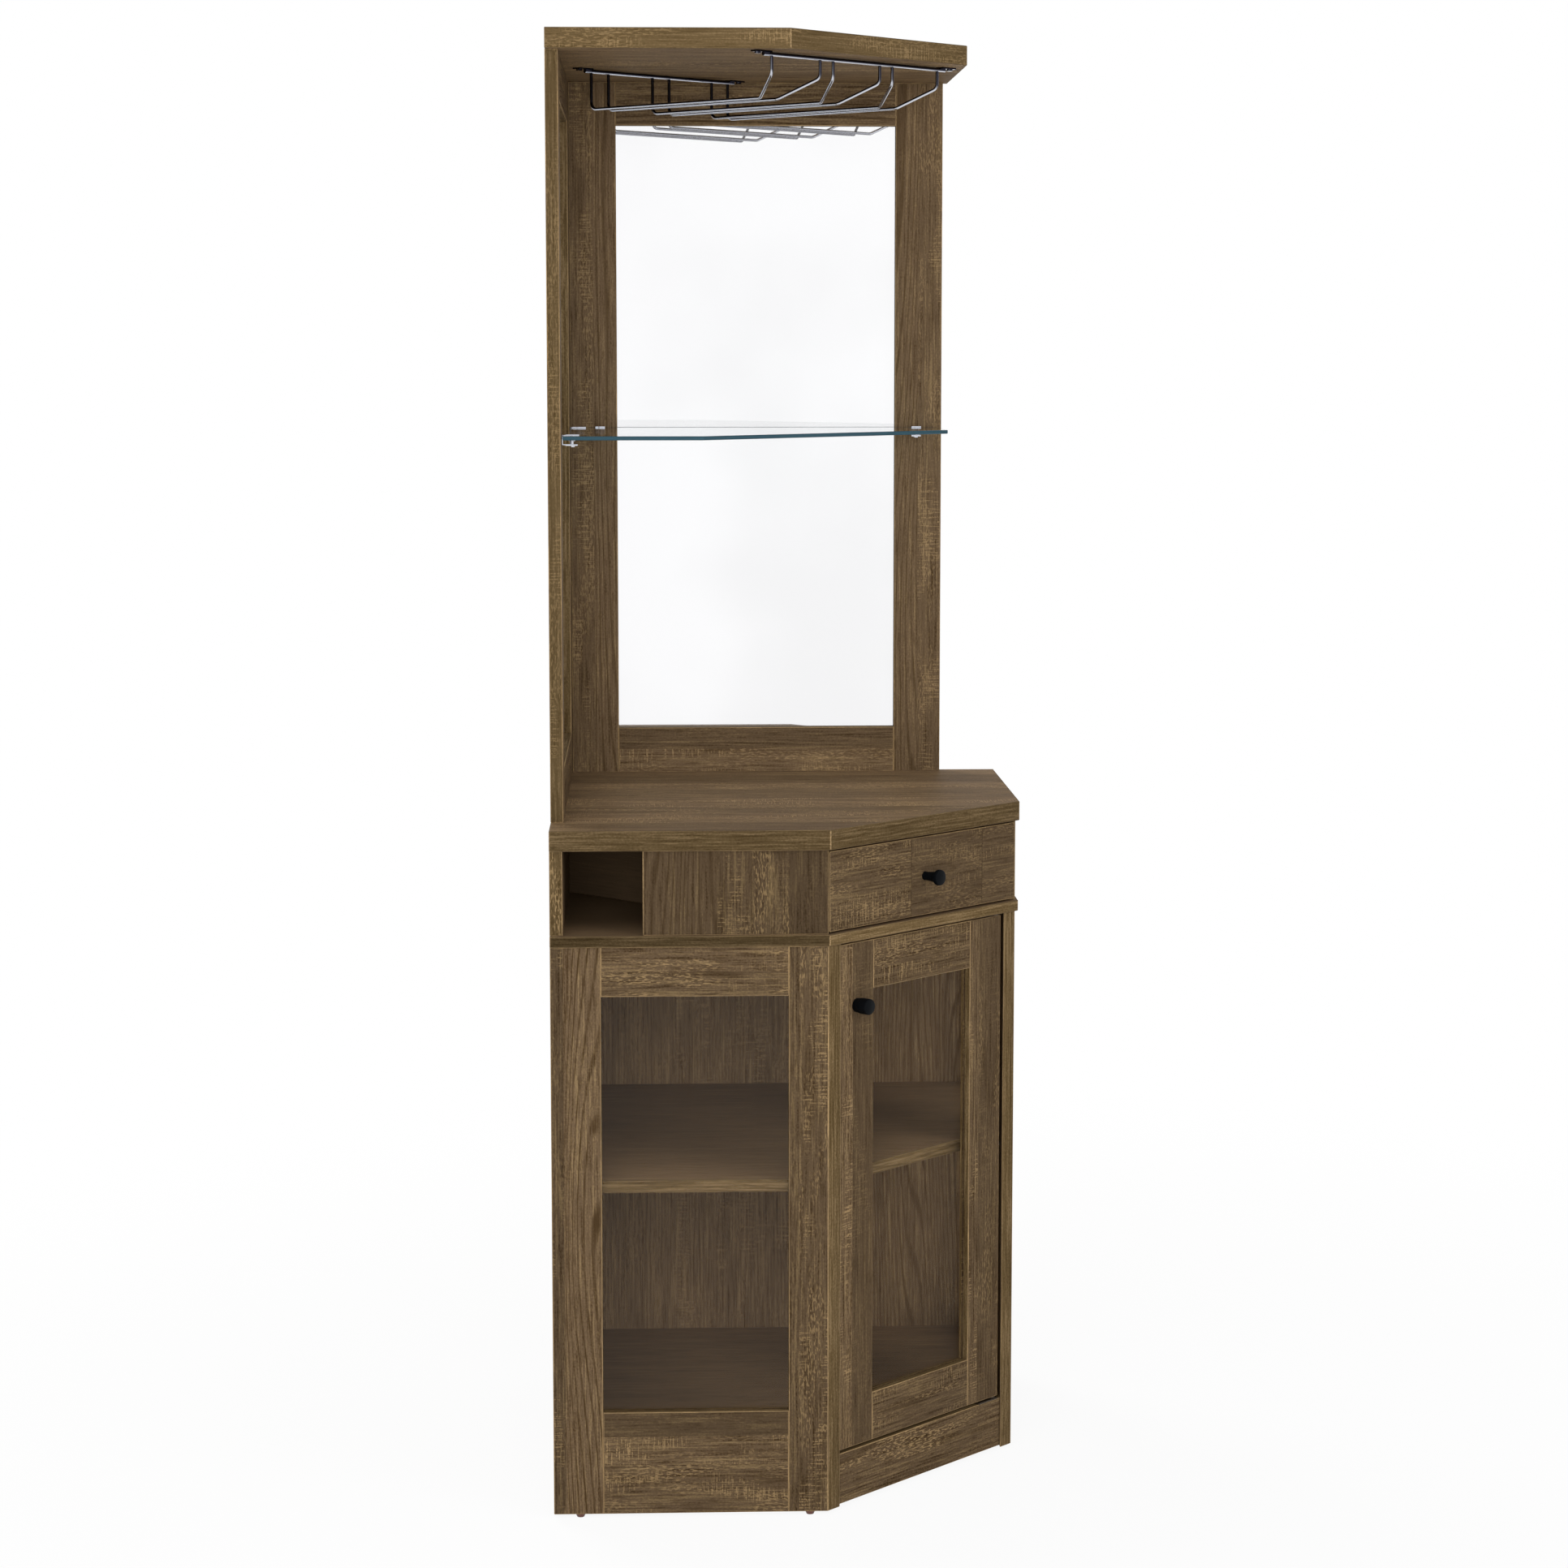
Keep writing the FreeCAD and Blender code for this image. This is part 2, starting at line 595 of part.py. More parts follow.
# Door
def build_door():
    """The glazed door, hung on hidden pivot pins at its right edge."""
    left_inner = "door_left + frame_width"
    right_inner = "door_right - frame_width"
    height = "door_top - door_bottom"
    knob_stile = grooved_stile(left_inner, "door_left", "door_left")
    knob_board = prism("knob_stile_board", knob_stile, "diagonal", "door_bottom", height, n="door_recess")
    knob_hole = shank_bore("door_knob_hole", "knob_stud_diameter", "2 * board_thickness", "diagonal",
                           "knob_stile_middle", "0", "door_knob_height", ALONG_N)
    name_part("door_knob_stile", cut("door_knob_stile", knob_board, [knob_hole]))

    hinge_stile = grooved_stile(right_inner, "door_right", "door_right")
    hinge_board = prism("hinge_stile_board", hinge_stile, "diagonal", "door_bottom", height,
                        n="door_recess")
    bore = "bush_diameter + 2 * joint_clearance"
    bore_length = "bush_length + joint_clearance"
    sockets = [rod(f"{end}_socket", bore, bore_length, "diagonal", "pivot_u", "pivot_n", z)
               for end, z in (("lower", "door_bottom"), ("upper", f"door_top - ({bore_length})"))]
    name_part("door_hinge_stile", cut("door_hinge_stile", hinge_board, sockets))

    window_bottom, window_top = "door_bottom + frame_width", "door_top - frame_width"
    span = (left_inner, right_inner)
    levels = {"top": (window_top, "door_top"), "bottom": (window_bottom, "door_bottom")}
    for level, (inner, outer) in levels.items():
        label = f"door_{level}_rail"
        name_part(label, grooved_rail(label, "diagonal", *span, inner, outer, "door_recess"))
    name_part("door_pane", pane("door_pane", "diagonal", *span, window_bottom, window_top, "door_recess"))

    bush_bore = "pivot_pin_diameter / 2 + pivot_clearance"
    flange = "bush_flange_diameter / 2"
    bush = [(bush_bore, "-bush_flange_thickness"), (flange, "-bush_flange_thickness"), (flange, "0"),
            ("bush_radius", "0"), ("bush_radius", "bush_length"), (bush_bore, "bush_length")]
    bushes = [turned("lower_bush", bush, "diagonal", "pivot_u", "pivot_n", "door_bottom"),
              turned("upper_bush", bush, "diagonal", "pivot_u", "pivot_n", "door_top", UPSIDE_DOWN)]
    name_part("hinge_bushes", group("hinge_bushes", bushes))

    # Each pivot plate is screwed to the case, with its pin running in the bush.
    plates = []
    for end, z, gap, tilt in (("lower", "floor_height", "door_bottom_gap", None),
                              ("upper", "case_top", "door_top_gap", UPSIDE_DOWN)):
        body = doc.addObject("PartDesign::Body", f"{end}_pivot_plate")
        right = "pivot_inset - pivot_plate_setback"
        left = f"{right} - pivot_plate_length"
        half = "pivot_plate_width / 2"
        slab = [(left, f"-{half}"), (right, f"-{half}"), (right, half), (left, half)]
        pad(body, "XY_Plane", slab, "pivot_plate_thickness")
        plate = place(body, "diagonal", "pivot_u", "pivot_n", z, tilt)
        pin = rod(f"{end}_pivot_pin", "pivot_pin_diameter", f"{gap} + pivot_pin_reach", "diagonal",
                  "pivot_u", "pivot_n", z, tilt)
        joined = doc.addObject("Part::Fuse", f"{end}_pivot")
        joined.Base, joined.Tool = plate, pin
        plates.append(joined)
    name_part("hinge_plates", group("hinge_plates", plates))

    catch_front = "door_back + strike_thickness + catch_gap"
    half = "catch_length / 2"
    catch_end = f"{catch_front} + catch_depth"
    housing = [(f"-{half}", catch_front), (half, catch_front), (half, catch_end), (f"-{half}", catch_end)]
    name_part("magnet_catch", prism("magnet_catch", housing, "diagonal", "case_top - catch_height",
                                    "catch_height", u="knob_stile_middle"))
    half = "strike_length / 2"
    strike_back = "door_back + strike_thickness"
    strike = [(f"-{half}", "door_back"), (half, "door_back"),
              (half, strike_back), (f"-{half}", strike_back)]
    strike_bottom = "case_top - (catch_height + strike_height) / 2"
    name_part("catch_strike", prism("catch_strike", strike, "diagonal", strike_bottom, "strike_height",
                                    u="knob_stile_middle"))

    drum = "drum_diameter / 2"
    stud = "knob_stud_diameter / 2"
    waist = f"{drum} - drum_waist"
    profile = [("0", "-knob_stud_length"), (stud, "-knob_stud_length"), (stud, "0"), (waist, "0"),
               (drum, "drum_waist_length"), (drum, "drum_length - knob_edge"),
               (f"{drum} - knob_edge", "drum_length"), ("0", "drum_length")]
    name_part("door_knob", turned("door_knob", profile, "diagonal", "knob_stile_middle", "door_recess",
                                  "door_knob_height", OUT_OF_FACE))


# Drawer
def build_drawer():
    """The drawer across the cut corner: a front with mitred ends and a box on nested slide channels."""
    end = "half_diagonal - drawer_gap / 2 / cos(22.5 deg)"
    front = [(f"-({end})", "0"), (end, "0"), (f"{end} - mitre_run", "board_thickness"),
             (f"-({end} - mitre_run)", "board_thickness")]
    front_bottom = "middle_height + drawer_gap"
    front_height = "tier_height - 2 * drawer_gap"
    front_board = prism("drawer_front_board", front, "diagonal", front_bottom, front_height)
    knob_z = f"{front_bottom} + ({front_height}) / 2"
    hole = shank_bore("drawer_knob_hole", "knob_stud_diameter", "2 * board_thickness", "diagonal", "0",
                      "-board_thickness / 2", knob_z, ALONG_N)
    name_part("drawer_front", cut("drawer_front", front_board, [hole]))

    # The side boards have a groove for the bottom, which slides in under the back board.
    groove_low = "drawer_bottom_inset"
    groove_high = "drawer_bottom_inset + drawer_bottom_thickness + 2 * joint_clearance"
    inside = "drawer_half - drawer_side_thickness"
    slot = f"{inside} + drawer_groove_depth"
    outside = "drawer_half"
    section = [(inside, "0"), (outside, "0"),
               (outside, "drawer_side_height"), (inside, "drawer_side_height"),
               (inside, groove_high), (slot, groove_high), (slot, groove_low), (inside, groove_low)]
    middle = "board_thickness + drawer_depth / 2"
    for side, corners in (("left", reversed_u(section)), ("right", section)):
        body = doc.addObject("PartDesign::Body", f"drawer_{side}_side")
        pad(body, "XZ_Plane", corners, "drawer_depth", both_ways=True)
        name_part(f"drawer_{side}_side", place(body, "diagonal", "0", middle, "drawer_bottom"))

    back_front = "drawer_back_end - drawer_side_thickness"
    back = [(f"-({inside})", back_front), (inside, back_front), (inside, "drawer_back_end"),
            (f"-({inside})", "drawer_back_end")]
    name_part("drawer_back", prism("drawer_back", back, "diagonal", f"drawer_bottom + {groove_high}",
                                   f"drawer_side_height - ({groove_high})"))
    reach = f"{slot} - joint_clearance"
    sheet_outline = [(f"-({reach})", "board_thickness"), (reach, "board_thickness"),
                     (reach, "drawer_back_end"), (f"-({reach})", "drawer_back_end")]
    sheet_bottom = f"drawer_bottom + {groove_low} + joint_clearance"
    name_part("drawer_bottom", prism("drawer_bottom", sheet_outline, "diagonal", sheet_bottom,
                                     "drawer_bottom_thickness"))

    # Slides: an outer channel on each partition and an inner channel on each drawer side, nested.
    outer_half = "slide_height / 2"
    inner_half = "slide_height / 2 - slide_wall - slide_running_gap"
    rails, runners = [], []
    for index, flip in enumerate((reversed_u, list)):
        rail = channel_section("partition_face", "partition_face - slide_flange", outer_half)
        runner = channel_section(outside, f"{outside} + slide_flange", inner_half)
        for kind, corners, store in (("rail", rail, rails), ("runner", runner, runners)):
            body = doc.addObject("PartDesign::Body", f"slide_{kind}_{index}")
            pad(body, "XZ_Plane", flip(corners), "drawer_depth", both_ways=True)
            start = middle if kind == "runner" else f"{middle} + drawer_gap"
            store.append(place(body, "diagonal", "0", start, "slide_middle"))
    name_part("drawer_rails", group("drawer_rails", rails))
    name_part("drawer_runners", group("drawer_runners", runners))

    head = "knob_head_diameter / 2"
    neck = "knob_neck_diameter / 2"
    stud = "knob_stud_diameter / 2"
    head_start = "knob_length - knob_head_thickness"
    profile = [("0", "-knob_stud_length"), (stud, "-knob_stud_length"), (stud, "0"), (neck, "0"),
               ("knob_throat_diameter / 2", head_start), (head, f"{head_start} + knob_edge"),
               (head, "knob_length - knob_edge"), (f"{head} - knob_edge", "knob_length"),
               ("0", "knob_length")]
    name_part("drawer_knob", turned("drawer_knob", profile, "diagonal", "0", "0", knob_z, OUT_OF_FACE))


def channel_section(web, flange_end, half):
    """A folded channel: its web at one u, its flanges reaching to another, half its height from z = 0."""
    toward = "+" if outer_is_after(web, flange_end) else "-"
    inner_web = f"({web}) {toward} slide_wall"
    low, high = f"-({half}) + slide_wall", f"{half} - slide_wall"
    return [(web, f"-({half})"), (flange_end, f"-({half})"), (flange_end, low), (inner_web, low),
            (inner_web, high), (flange_end, high), (flange_end, half), (web, half)]


# Hutch
def rebated_stile(inner, outer):
    """Plan of a hutch stile with a rebate behind its inner edge for the mirror and its backing."""
    sign = "+" if outer_is_after(inner, outer) else "-"
    step = f"({inner}) {sign} mirror_overlap"
    return [(inner, "0"), (outer, "0"), (outer, "hutch_thickness"), (step, "hutch_thickness"),
            (step, "rebate_start"), (inner, "rebate_start")]


def rebated_rail(name, frame, start, end, inner, outer):
    """A hutch rail with the same rebate. Its back lip laps into the rebates of the stiles."""
    sign = "+" if outer_is_after(inner, outer) else "-"
    step = f"({inner}) {sign} mirror_overlap"
    body = doc.addObject("PartDesign::Body", name)
    section = [("0", inner), ("0", outer), ("hutch_thickness", outer), ("hutch_thickness", step),
               ("rebate_start", step), ("rebate_start", inner)]
    pad(body, "YZ_Plane", section, f"({end}) - ({start})", both_ways=True)
    lap_front = "rebate_start + joint_clearance"
    lap = [(lap_front, step), (lap_front, outer), ("hutch_thickness", outer), ("hutch_thickness", step)]
    lap_length = f"({end}) - ({start}) + 2 * (mirror_overlap - joint_clearance)"
    pad(body, "YZ_Plane", lap, lap_length, both_ways=True)
    return place(body, frame, f"(({start}) + ({end})) / 2", "0", "0")


def rebate_sheet(name, frame, span, front, back):
    """A mirror or backing sheet in the rebate, front and back being its depths."""
    left, right = (f"({span[0]}) - mirror_lap", f"({span[1]}) + mirror_lap")
    corners = [(left, front), (right, front), (right, back), (left, back)]
    height = "mirror_top - mirror_bottom + 2 * mirror_lap"
    return prism(name, corners, frame, "mirror_bottom - mirror_lap", height)


def build_hutch():
    """Two framed mirrors that stand on the counter against the walls, with the counter and the top."""
    dowels, counter_holes, top_holes, backings = [], [], [], []
    bore = "dowel_diameter + 2 * joint_clearance"
    for side in ("left", "right"):
        frame = f"{side}_hutch"
        flip = reversed_u if side == "left" else list
        sign = "-" if side == "left" else ""
        corner_end = "0" if side == "left" else "hutch_thickness"
        stiles = {"corner": ("mirror_start", corner_end), "end": ("mirror_end", "hutch_width")}
        for place_name, (inner, outer) in stiles.items():
            label = f"{side}_hutch_{place_name}_stile"
            section = flip(rebated_stile(inner, outer))
            board = prism(f"{label}_board", section, frame, "counter_height", "hutch_height")
            u = f"{sign}(({inner}) + ({outer})) / 2"
            n = "hutch_thickness / 2"
            holes = []
            for end, z in (("foot", "counter_height"), ("head", "hutch_top")):
                low = f"{z} - dowel_length / 2"
                dowels.append(peg(f"{label}_{end}_dowel", "dowel_diameter", "dowel_length",
                                  frame, u, n, low))
                hole_low = f"{low} - joint_clearance"
                hole_length = "dowel_length + 2 * joint_clearance"
                holes.append(peg(f"{label}_{end}_hole", bore, hole_length, frame, u, n, hole_low))
                seat = counter_holes if end == "foot" else top_holes
                seat.append(peg(f"{label}_{end}_seat", bore, hole_length, frame, u, n, hole_low))
            name_part(label, cut(label, board, holes))
        span = ("mirror_start", "mirror_end")
        if side == "left":
            span = tuple(f"-({u})" for u in reversed(span))
        levels = {"top": ("mirror_top", "hutch_top"), "bottom": ("mirror_bottom", "counter_height")}
        for level, (inner, outer) in levels.items():
            label = f"{side}_hutch_{level}_rail"
            name_part(label, rebated_rail(label, frame, *span, inner, outer))
        mirror_back = "rebate_start + mirror_thickness"
        mirror = rebate_sheet(f"{side}_mirror", frame, span, "rebate_start", mirror_back)
        name_part(f"{side}_mirror", mirror)
        backings.append(rebate_sheet(f"{side}_backing", frame, span, mirror_back, "hutch_thickness"))
    name_part("mirror_backings", group("mirror_backings", backings))
    name_part("hutch_dowels", group("hutch_dowels", dowels))

    counter = plan_board("counter_board", five_sided("0", "plan_width", "side_length"), "counter_underside",
                         "counter_thickness")
    name_part("counter_top", cut("counter_top", counter, counter_holes))
    top_outline = five_sided("0", "top_width", "top_side_length")
    top = plan_board("top_plan_board", top_outline, "hutch_top", "top_thickness")
    name_part("top_board", cut("top_board", top, top_holes + rack_screw_holes()))


def build_glass_shelf():
    """The glass shelf between the mirrors, held by four metal clamps that are fixed to the stiles."""
    shelf = five_sided("glass_start", "glass_shelf_reach", "glass_shelf_side")
    glass_low = "glass_shelf_height - glass_shelf_thickness"
    name_part("glass_shelf", plan_board("glass_shelf", shelf, glass_low, "glass_shelf_thickness"))
    clamps = []
    for side, sign in (("left", "-"), ("right", "")):
        for index, inset in enumerate(("clip_corner_inset", "hutch_width - clip_end_inset")):
            clamps += shelf_clamp(f"{side}_clip_{index}", f"{side}_hutch", f"{sign}({inset})", glass_low)
    name_part("glass_shelf_clips", group("glass_shelf_clips", clamps))


def shelf_clamp(name, frame, u, glass_low):
    """A bracket with a lip over the glass and an arm below it, and the screw that presses a pad up."""
    lip_low = "glass_shelf_height + pane_clearance"
    lip_high = f"{lip_low} + clip_lip"
    pad_high = f"{glass_low} - pane_clearance"
    arm_high = f"{pad_high} - clip_screw_space"
    arm_low = f"{arm_high} - clip_arm"
    section = [("0", arm_low), ("-clip_arm_reach", arm_low), ("-clip_arm_reach", arm_high),
               ("-clip_plate", arm_high), ("-clip_plate", lip_low), ("-clip_lip_reach", lip_low),
               ("-clip_lip_reach", lip_high), ("0", lip_high)]
    body = doc.addObject("PartDesign::Body", f"{name}_body")
    pad(body, "YZ_Plane", section, "clip_width", both_ways=True)
    place(body, frame, u, "0", "0")
    axis = (frame, u, "clip_screw_inset - clip_arm_reach")
    bore = "clip_screw_diameter + 2 * joint_clearance"
    bracket = cut(f"{name}_bracket", body, [peg(f"{name}_bore", bore, "clip_arm", *axis, arm_low)])
    screw = doc.addObject("Part::MultiFuse", f"{name}_screw")
    screw.Shapes = [
        peg(f"{name}_head", "clip_screw_head", "clip_screw_head_height", *axis,
            f"{arm_low} - clip_screw_head_height"),
        peg(f"{name}_shank", "clip_screw_diameter", "clip_arm + clip_screw_space", *axis, arm_low),
        peg(f"{name}_pad", "clip_pad_diameter", "clip_pad_thickness", *axis,
            f"{pad_high} - clip_pad_thickness"),
    ]
    return [bracket, screw]


# Stemware rack. Its bars lie across the diagonal of the plan, at distances from the room corner.
RACK_BARS = (
    ("front", "rack_front_distance", "rack_front_length"),
    ("rear", "rack_rear_distance", "rack_rear_length"),
)


def bar_ends():
    """The frame coordinates of the four flattened bar ends, each with the way its tab points."""
    for end, distance, length in RACK_BARS:
        for sign, side in zip(BOTH_SIDES, ("left", "right")):
            yield f"{end}_{side}", f"{sign} * {length} / 2", f"case_distance - {distance}", sign


def rack_screw_holes():
    return [shank_bore(f"{name}_top_hole", "rack_screw_diameter", "rack_screw_length", "diagonal", u, n,
                       "hutch_top") for name, u, n, _ in bar_ends()]


def build_rack():
    """A welded wire rack: two round bars with flattened, screwed ends and three pairs of bent wires."""
    bars, screws = [], []
    tabs = {}
    tab_low = "hutch_top - rack_tab_thickness"
    for name, u, n, sign in bar_ends():
        half = "rack_tab_width / 2"
        inner = f"{-sign} * rack_tab_length"
        outer = f"{sign} * {half}"
        corners = [(inner, f"-{half}"), (outer, f"-{half}"), (outer, half), (inner, half)]
        tab = prism(f"{name}_tab", corners, "diagonal", tab_low, "rack_tab_thickness", u, n)
        hole = shank_bore(f"{name}_tab_hole", "rack_screw_diameter", "rack_tab_thickness", "diagonal", u, n,
                          tab_low)
        tabs[name] = cut(f"{name}_drilled_tab", tab, [hole])
        head = "rack_screw_head / 2"
        shank = "rack_screw_diameter / 2"
        tip = "rack_screw_head_height + rack_screw_length"
        profile = [("0", "0"), (head, "0"), (head, "rack_screw_head_height"),
                   (shank, "rack_screw_head_height"), (shank, tip), ("0", tip)]
        screw_low = f"{tab_low} - rack_screw_head_height"
        screws.append(turned(f"{name}_screw", profile, "diagonal", u, n, screw_low))
    for end, distance, length in RACK_BARS:
        # The round part of a bar ends half a tab's length from each screw and sinks into its two tabs.
        reach = f"({length} - rack_tab_length)"
        bar = rod(f"{end}_bar", "rack_bar_diameter", reach, "diagonal", f"-{reach} / 2",
                  f"case_distance - {distance}", "bar_axis_height", ALONG_U)
        whole = doc.addObject("Part::MultiFuse", f"{end}_rack_bar")
        whole.Shapes = [bar, tabs[f"{end}_left"], tabs[f"{end}_right"]]
        bars.append(whole)
    name_part("rack_bars", group("rack_bars", bars))
    name_part("rack_screws", group("rack_screws", screws))
    name_part("rack_wires", rack_wires())


def rounded_path(points, radius):
    """The points with each inner corner replaced by short chords of an arc of the given radius."""
    path = [points[0]]
    for before, corner, after in zip(points, points[1:], points[2:]):
        back = (before - corner).normalize()
        ahead = (after - corner).normalize()
        turn = math.pi - back.getAngle(ahead)
        centre = corner + (back + ahead).normalize() * (radius / math.cos(turn / 2))
        spoke = corner + back * (radius * math.tan(turn / 2)) - centre
        for step in range(BEND_CHORDS + 1):
            swing = Rotation(ahead.cross(back), math.degrees(turn) * step / BEND_CHORDS)
            path.append(centre + swing.multVec(spoke))
    return path + [points[-1]]


def bent_wire(path, radius):
    """A many-sided wire along straight runs, mitred where one run meets the next."""
    runs = [(after - before).normalize() for before, after in zip(path, path[1:])]
    mitres = [(first + second).normalize() for first, second in zip(runs, runs[1:])]
    normals = [runs[0]] + mitres + [runs[-1]]
    across = runs[0].cross(Vector(1, 0, 0)).normalize()
    ring = [path[0] + Rotation(runs[0], 360 * side / WIRE_SIDES).multVec(across) * radius
            for side in range(WIRE_SIDES)]
    faces = [Part.Face(Part.makePolygon(ring + ring[:1]))]
    for point, run, normal in zip(path[1:], runs, normals[1:]):
        further = [corner + run * ((point - corner).dot(normal) / run.dot(normal)) for corner in ring]
        for side in range(WIRE_SIDES):
            pair = (side, (side + 1) % WIRE_SIDES)
            corners = [ring[pair[0]], ring[pair[1]], further[pair[1]], further[pair[0]], ring[pair[0]]]
            faces.append(Part.Face(Part.makePolygon(corners)))
        ring = further
    faces.append(Part.Face(Part.makePolygon(ring + ring[:1])))
    return Part.Solid(Part.Shell(faces))


def rack_wires():
    """Each pair of wires drops from the rear bar, runs forward as a lane and opens into a mouth."""
    weld_level = value("bar_axis_height - rack_bar_diameter / 2 - rack_weld_gap")
    lane_level = value("hutch_top - rack_drop")
    mouth_level = value("hutch_top - rack_mouth_drop")
    rear = value("case_distance - rack_rear_distance")
    front = value("case_distance - rack_front_distance")
    throat = front + value("rack_mouth_length")
    wires = []
    for lane in RACK_LANES:
        middle = lane * value("rack_lane_pitch")
        for sign in BOTH_SIDES:
            lane_u = middle + sign * value("rack_lane_gap") / 2
            mouth_u = middle + sign * value("rack_mouth_width") / 2
            corners = [
                Vector(lane_u, rear, weld_level),
                Vector(lane_u, rear, lane_level),
                Vector(lane_u, throat, lane_level),
                Vector(mouth_u, front, mouth_level),
                Vector(mouth_u, front, weld_level),
            ]
            path = rounded_path(corners, value("rack_bend_radius"))
            wires.append(bent_wire(path, value("rack_wire_diameter") / 2))
    item = doc.addObject("Part::Feature", "rack_wires")
    item.Shape = Part.makeCompound(wires)
    return place(item, "diagonal", "0", "0", "0")


def main():
    build_case()
    build_door()
    build_drawer()
    build_hutch()
    build_glass_shelf()
    build_rack()
    doc.recompute()

    for item in doc.Objects:
        if "Invalid" in item.State or "Error" in item.State:
            raise RuntimeError(f"{item.Label} failed: {item.State}")
    for label, item in subparts.items():
        if item.Shape.isNull() or not item.Shape.isValid() or not item.Shape.Solids:
            raise RuntimeError(f"{label} has no valid solid")

    os.makedirs("parts", exist_ok=True)
    for label, item in subparts.items():
        item.Shape.exportStep(os.path.join("parts", f"{label}.step"))
    print(f"{len(subparts)} sub-parts written")


main()
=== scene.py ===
import json
import math

import bmesh
import bpy
from bpy.props import FloatProperty, FloatVectorProperty, PointerProperty
from mathutils import Matrix, Vector

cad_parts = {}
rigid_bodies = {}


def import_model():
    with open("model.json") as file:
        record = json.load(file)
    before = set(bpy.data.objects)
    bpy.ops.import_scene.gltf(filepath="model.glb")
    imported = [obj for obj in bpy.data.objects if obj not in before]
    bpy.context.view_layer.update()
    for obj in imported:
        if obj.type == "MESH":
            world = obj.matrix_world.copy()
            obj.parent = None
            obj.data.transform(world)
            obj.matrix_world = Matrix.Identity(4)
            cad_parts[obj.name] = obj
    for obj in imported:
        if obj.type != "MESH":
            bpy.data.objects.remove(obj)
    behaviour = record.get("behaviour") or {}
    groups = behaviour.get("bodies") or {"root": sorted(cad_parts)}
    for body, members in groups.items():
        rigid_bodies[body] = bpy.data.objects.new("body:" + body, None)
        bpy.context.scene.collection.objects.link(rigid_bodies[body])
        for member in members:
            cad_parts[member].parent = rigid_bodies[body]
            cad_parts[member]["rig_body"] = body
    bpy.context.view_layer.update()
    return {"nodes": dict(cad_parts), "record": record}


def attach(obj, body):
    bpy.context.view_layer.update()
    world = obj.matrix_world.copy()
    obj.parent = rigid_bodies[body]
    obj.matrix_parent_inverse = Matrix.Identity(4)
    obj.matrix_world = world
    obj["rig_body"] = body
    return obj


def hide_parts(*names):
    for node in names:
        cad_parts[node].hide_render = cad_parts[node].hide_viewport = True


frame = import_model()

bl_info = {
    "name": "Corner Bar Cabinet",
    "version": (1, 0, 0),
    "blender": (4, 5, 0),
    "location": "View3D > Sidebar > Bar Cabinet",
    "description": "Dresses the packed corner bar cabinet in reclaimed oak, glass, mirror and wire",
    "category": "Object",
}

SLOT_OF = {part["node"]: part["material_slot"] for part in frame["record"]["subparts"]}

# Directions of the cabinet: the cut corner with the door and the drawer faces CORNER, and CUT runs along it.
RIGHT = Vector((1, 0, 0))
BACK = Vector((0, 1, 0))
UP = Vector((0, 0, 1))
FRONT = -BACK
CUT = Vector((1, 1, 0)).normalized()
CORNER = Vector((1, -1, 0)).normalized()

# Mesh work: distances in metres, angles in radians.
WELD_DISTANCE = 1e-5
FLAT_ANGLE = math.radians(1)
ARRIS_ANGLE = math.radians(30)
ROUND_ANGLE = math.radians(35)
SHORTEST_ARRIS = 0.01
SKIN_DEPTH = 1e-4
EASE_SEGMENTS = 2
CLAMP_EASE = 0.0003
WIRE_SIDES = 16
BEND_STEP = math.radians(12)
FEWEST_BEND_STEPS = 3
KNOB_STEPS = 48
SCREW_STEPS = 24
# A screw of the shelf clamps is narrower than this, and a bracket is wider.
SCREW_LIMIT = 0.01
# How squarely a face looks a way to lie in that plane, and the least tilt of an arris beside a board's face.
FACE_LIMIT = 0.97
EDGE_LIMIT = 0.1

# Turned profiles: radius and distance along the axis, in metres. The knobs start at the face they stand on.
DRAWER_KNOB = ((0, 0), (0.0056, 0), (0.0057, 0.0008), (0.0054, 0.0018), (0.0056, 0.007), (0.0062, 0.0125),
               (0.007, 0.0175), (0.0078, 0.0202), (0.0092, 0.0208), (0.0099, 0.0216), (0.01, 0.0228),
               (0.01, 0.0252), (0.0096, 0.0264), (0.0088, 0.0269), (0, 0.027))
DOOR_KNOB = ((0, 0), (0.0088, 0), (0.009, 0.0006), (0.009, 0.004), (0.0093, 0.006), (0.0098, 0.0075),
             (0.01, 0.009), (0.01, 0.0203), (0.0097, 0.0213), (0.009, 0.0218), (0, 0.022))
# The shelf clamps' screws, from the foot up: a rounded head, the shank and the pad under the glass.
CLAMP_SCREW = ((0, 0), (0.0026, 0), (0.0033, 0.0004), (0.0035, 0.001), (0.0035, 0.0017), (0.0032, 0.002),
               (0.002, 0.002), (0.002, 0.0078), (0.0036, 0.0078), (0.004, 0.0081), (0.004, 0.0088),
               (0.0037, 0.009), (0, 0.009))

# The finishes of a board, by the number of their material slot.
FACE, BAND, ARRIS = range(3)
# Amounts of the oak print: the attribute on a board's faces and the input that it feeds.
PLANK_LAYERS = {"tone": "Tone", "contrast": "Contrast", "figure": "Figure", "saw": "Saw Marks",
                "wear": "Wear"}
OAK_TINTS = ("Dark", "Middle", "Light", "Fleck")
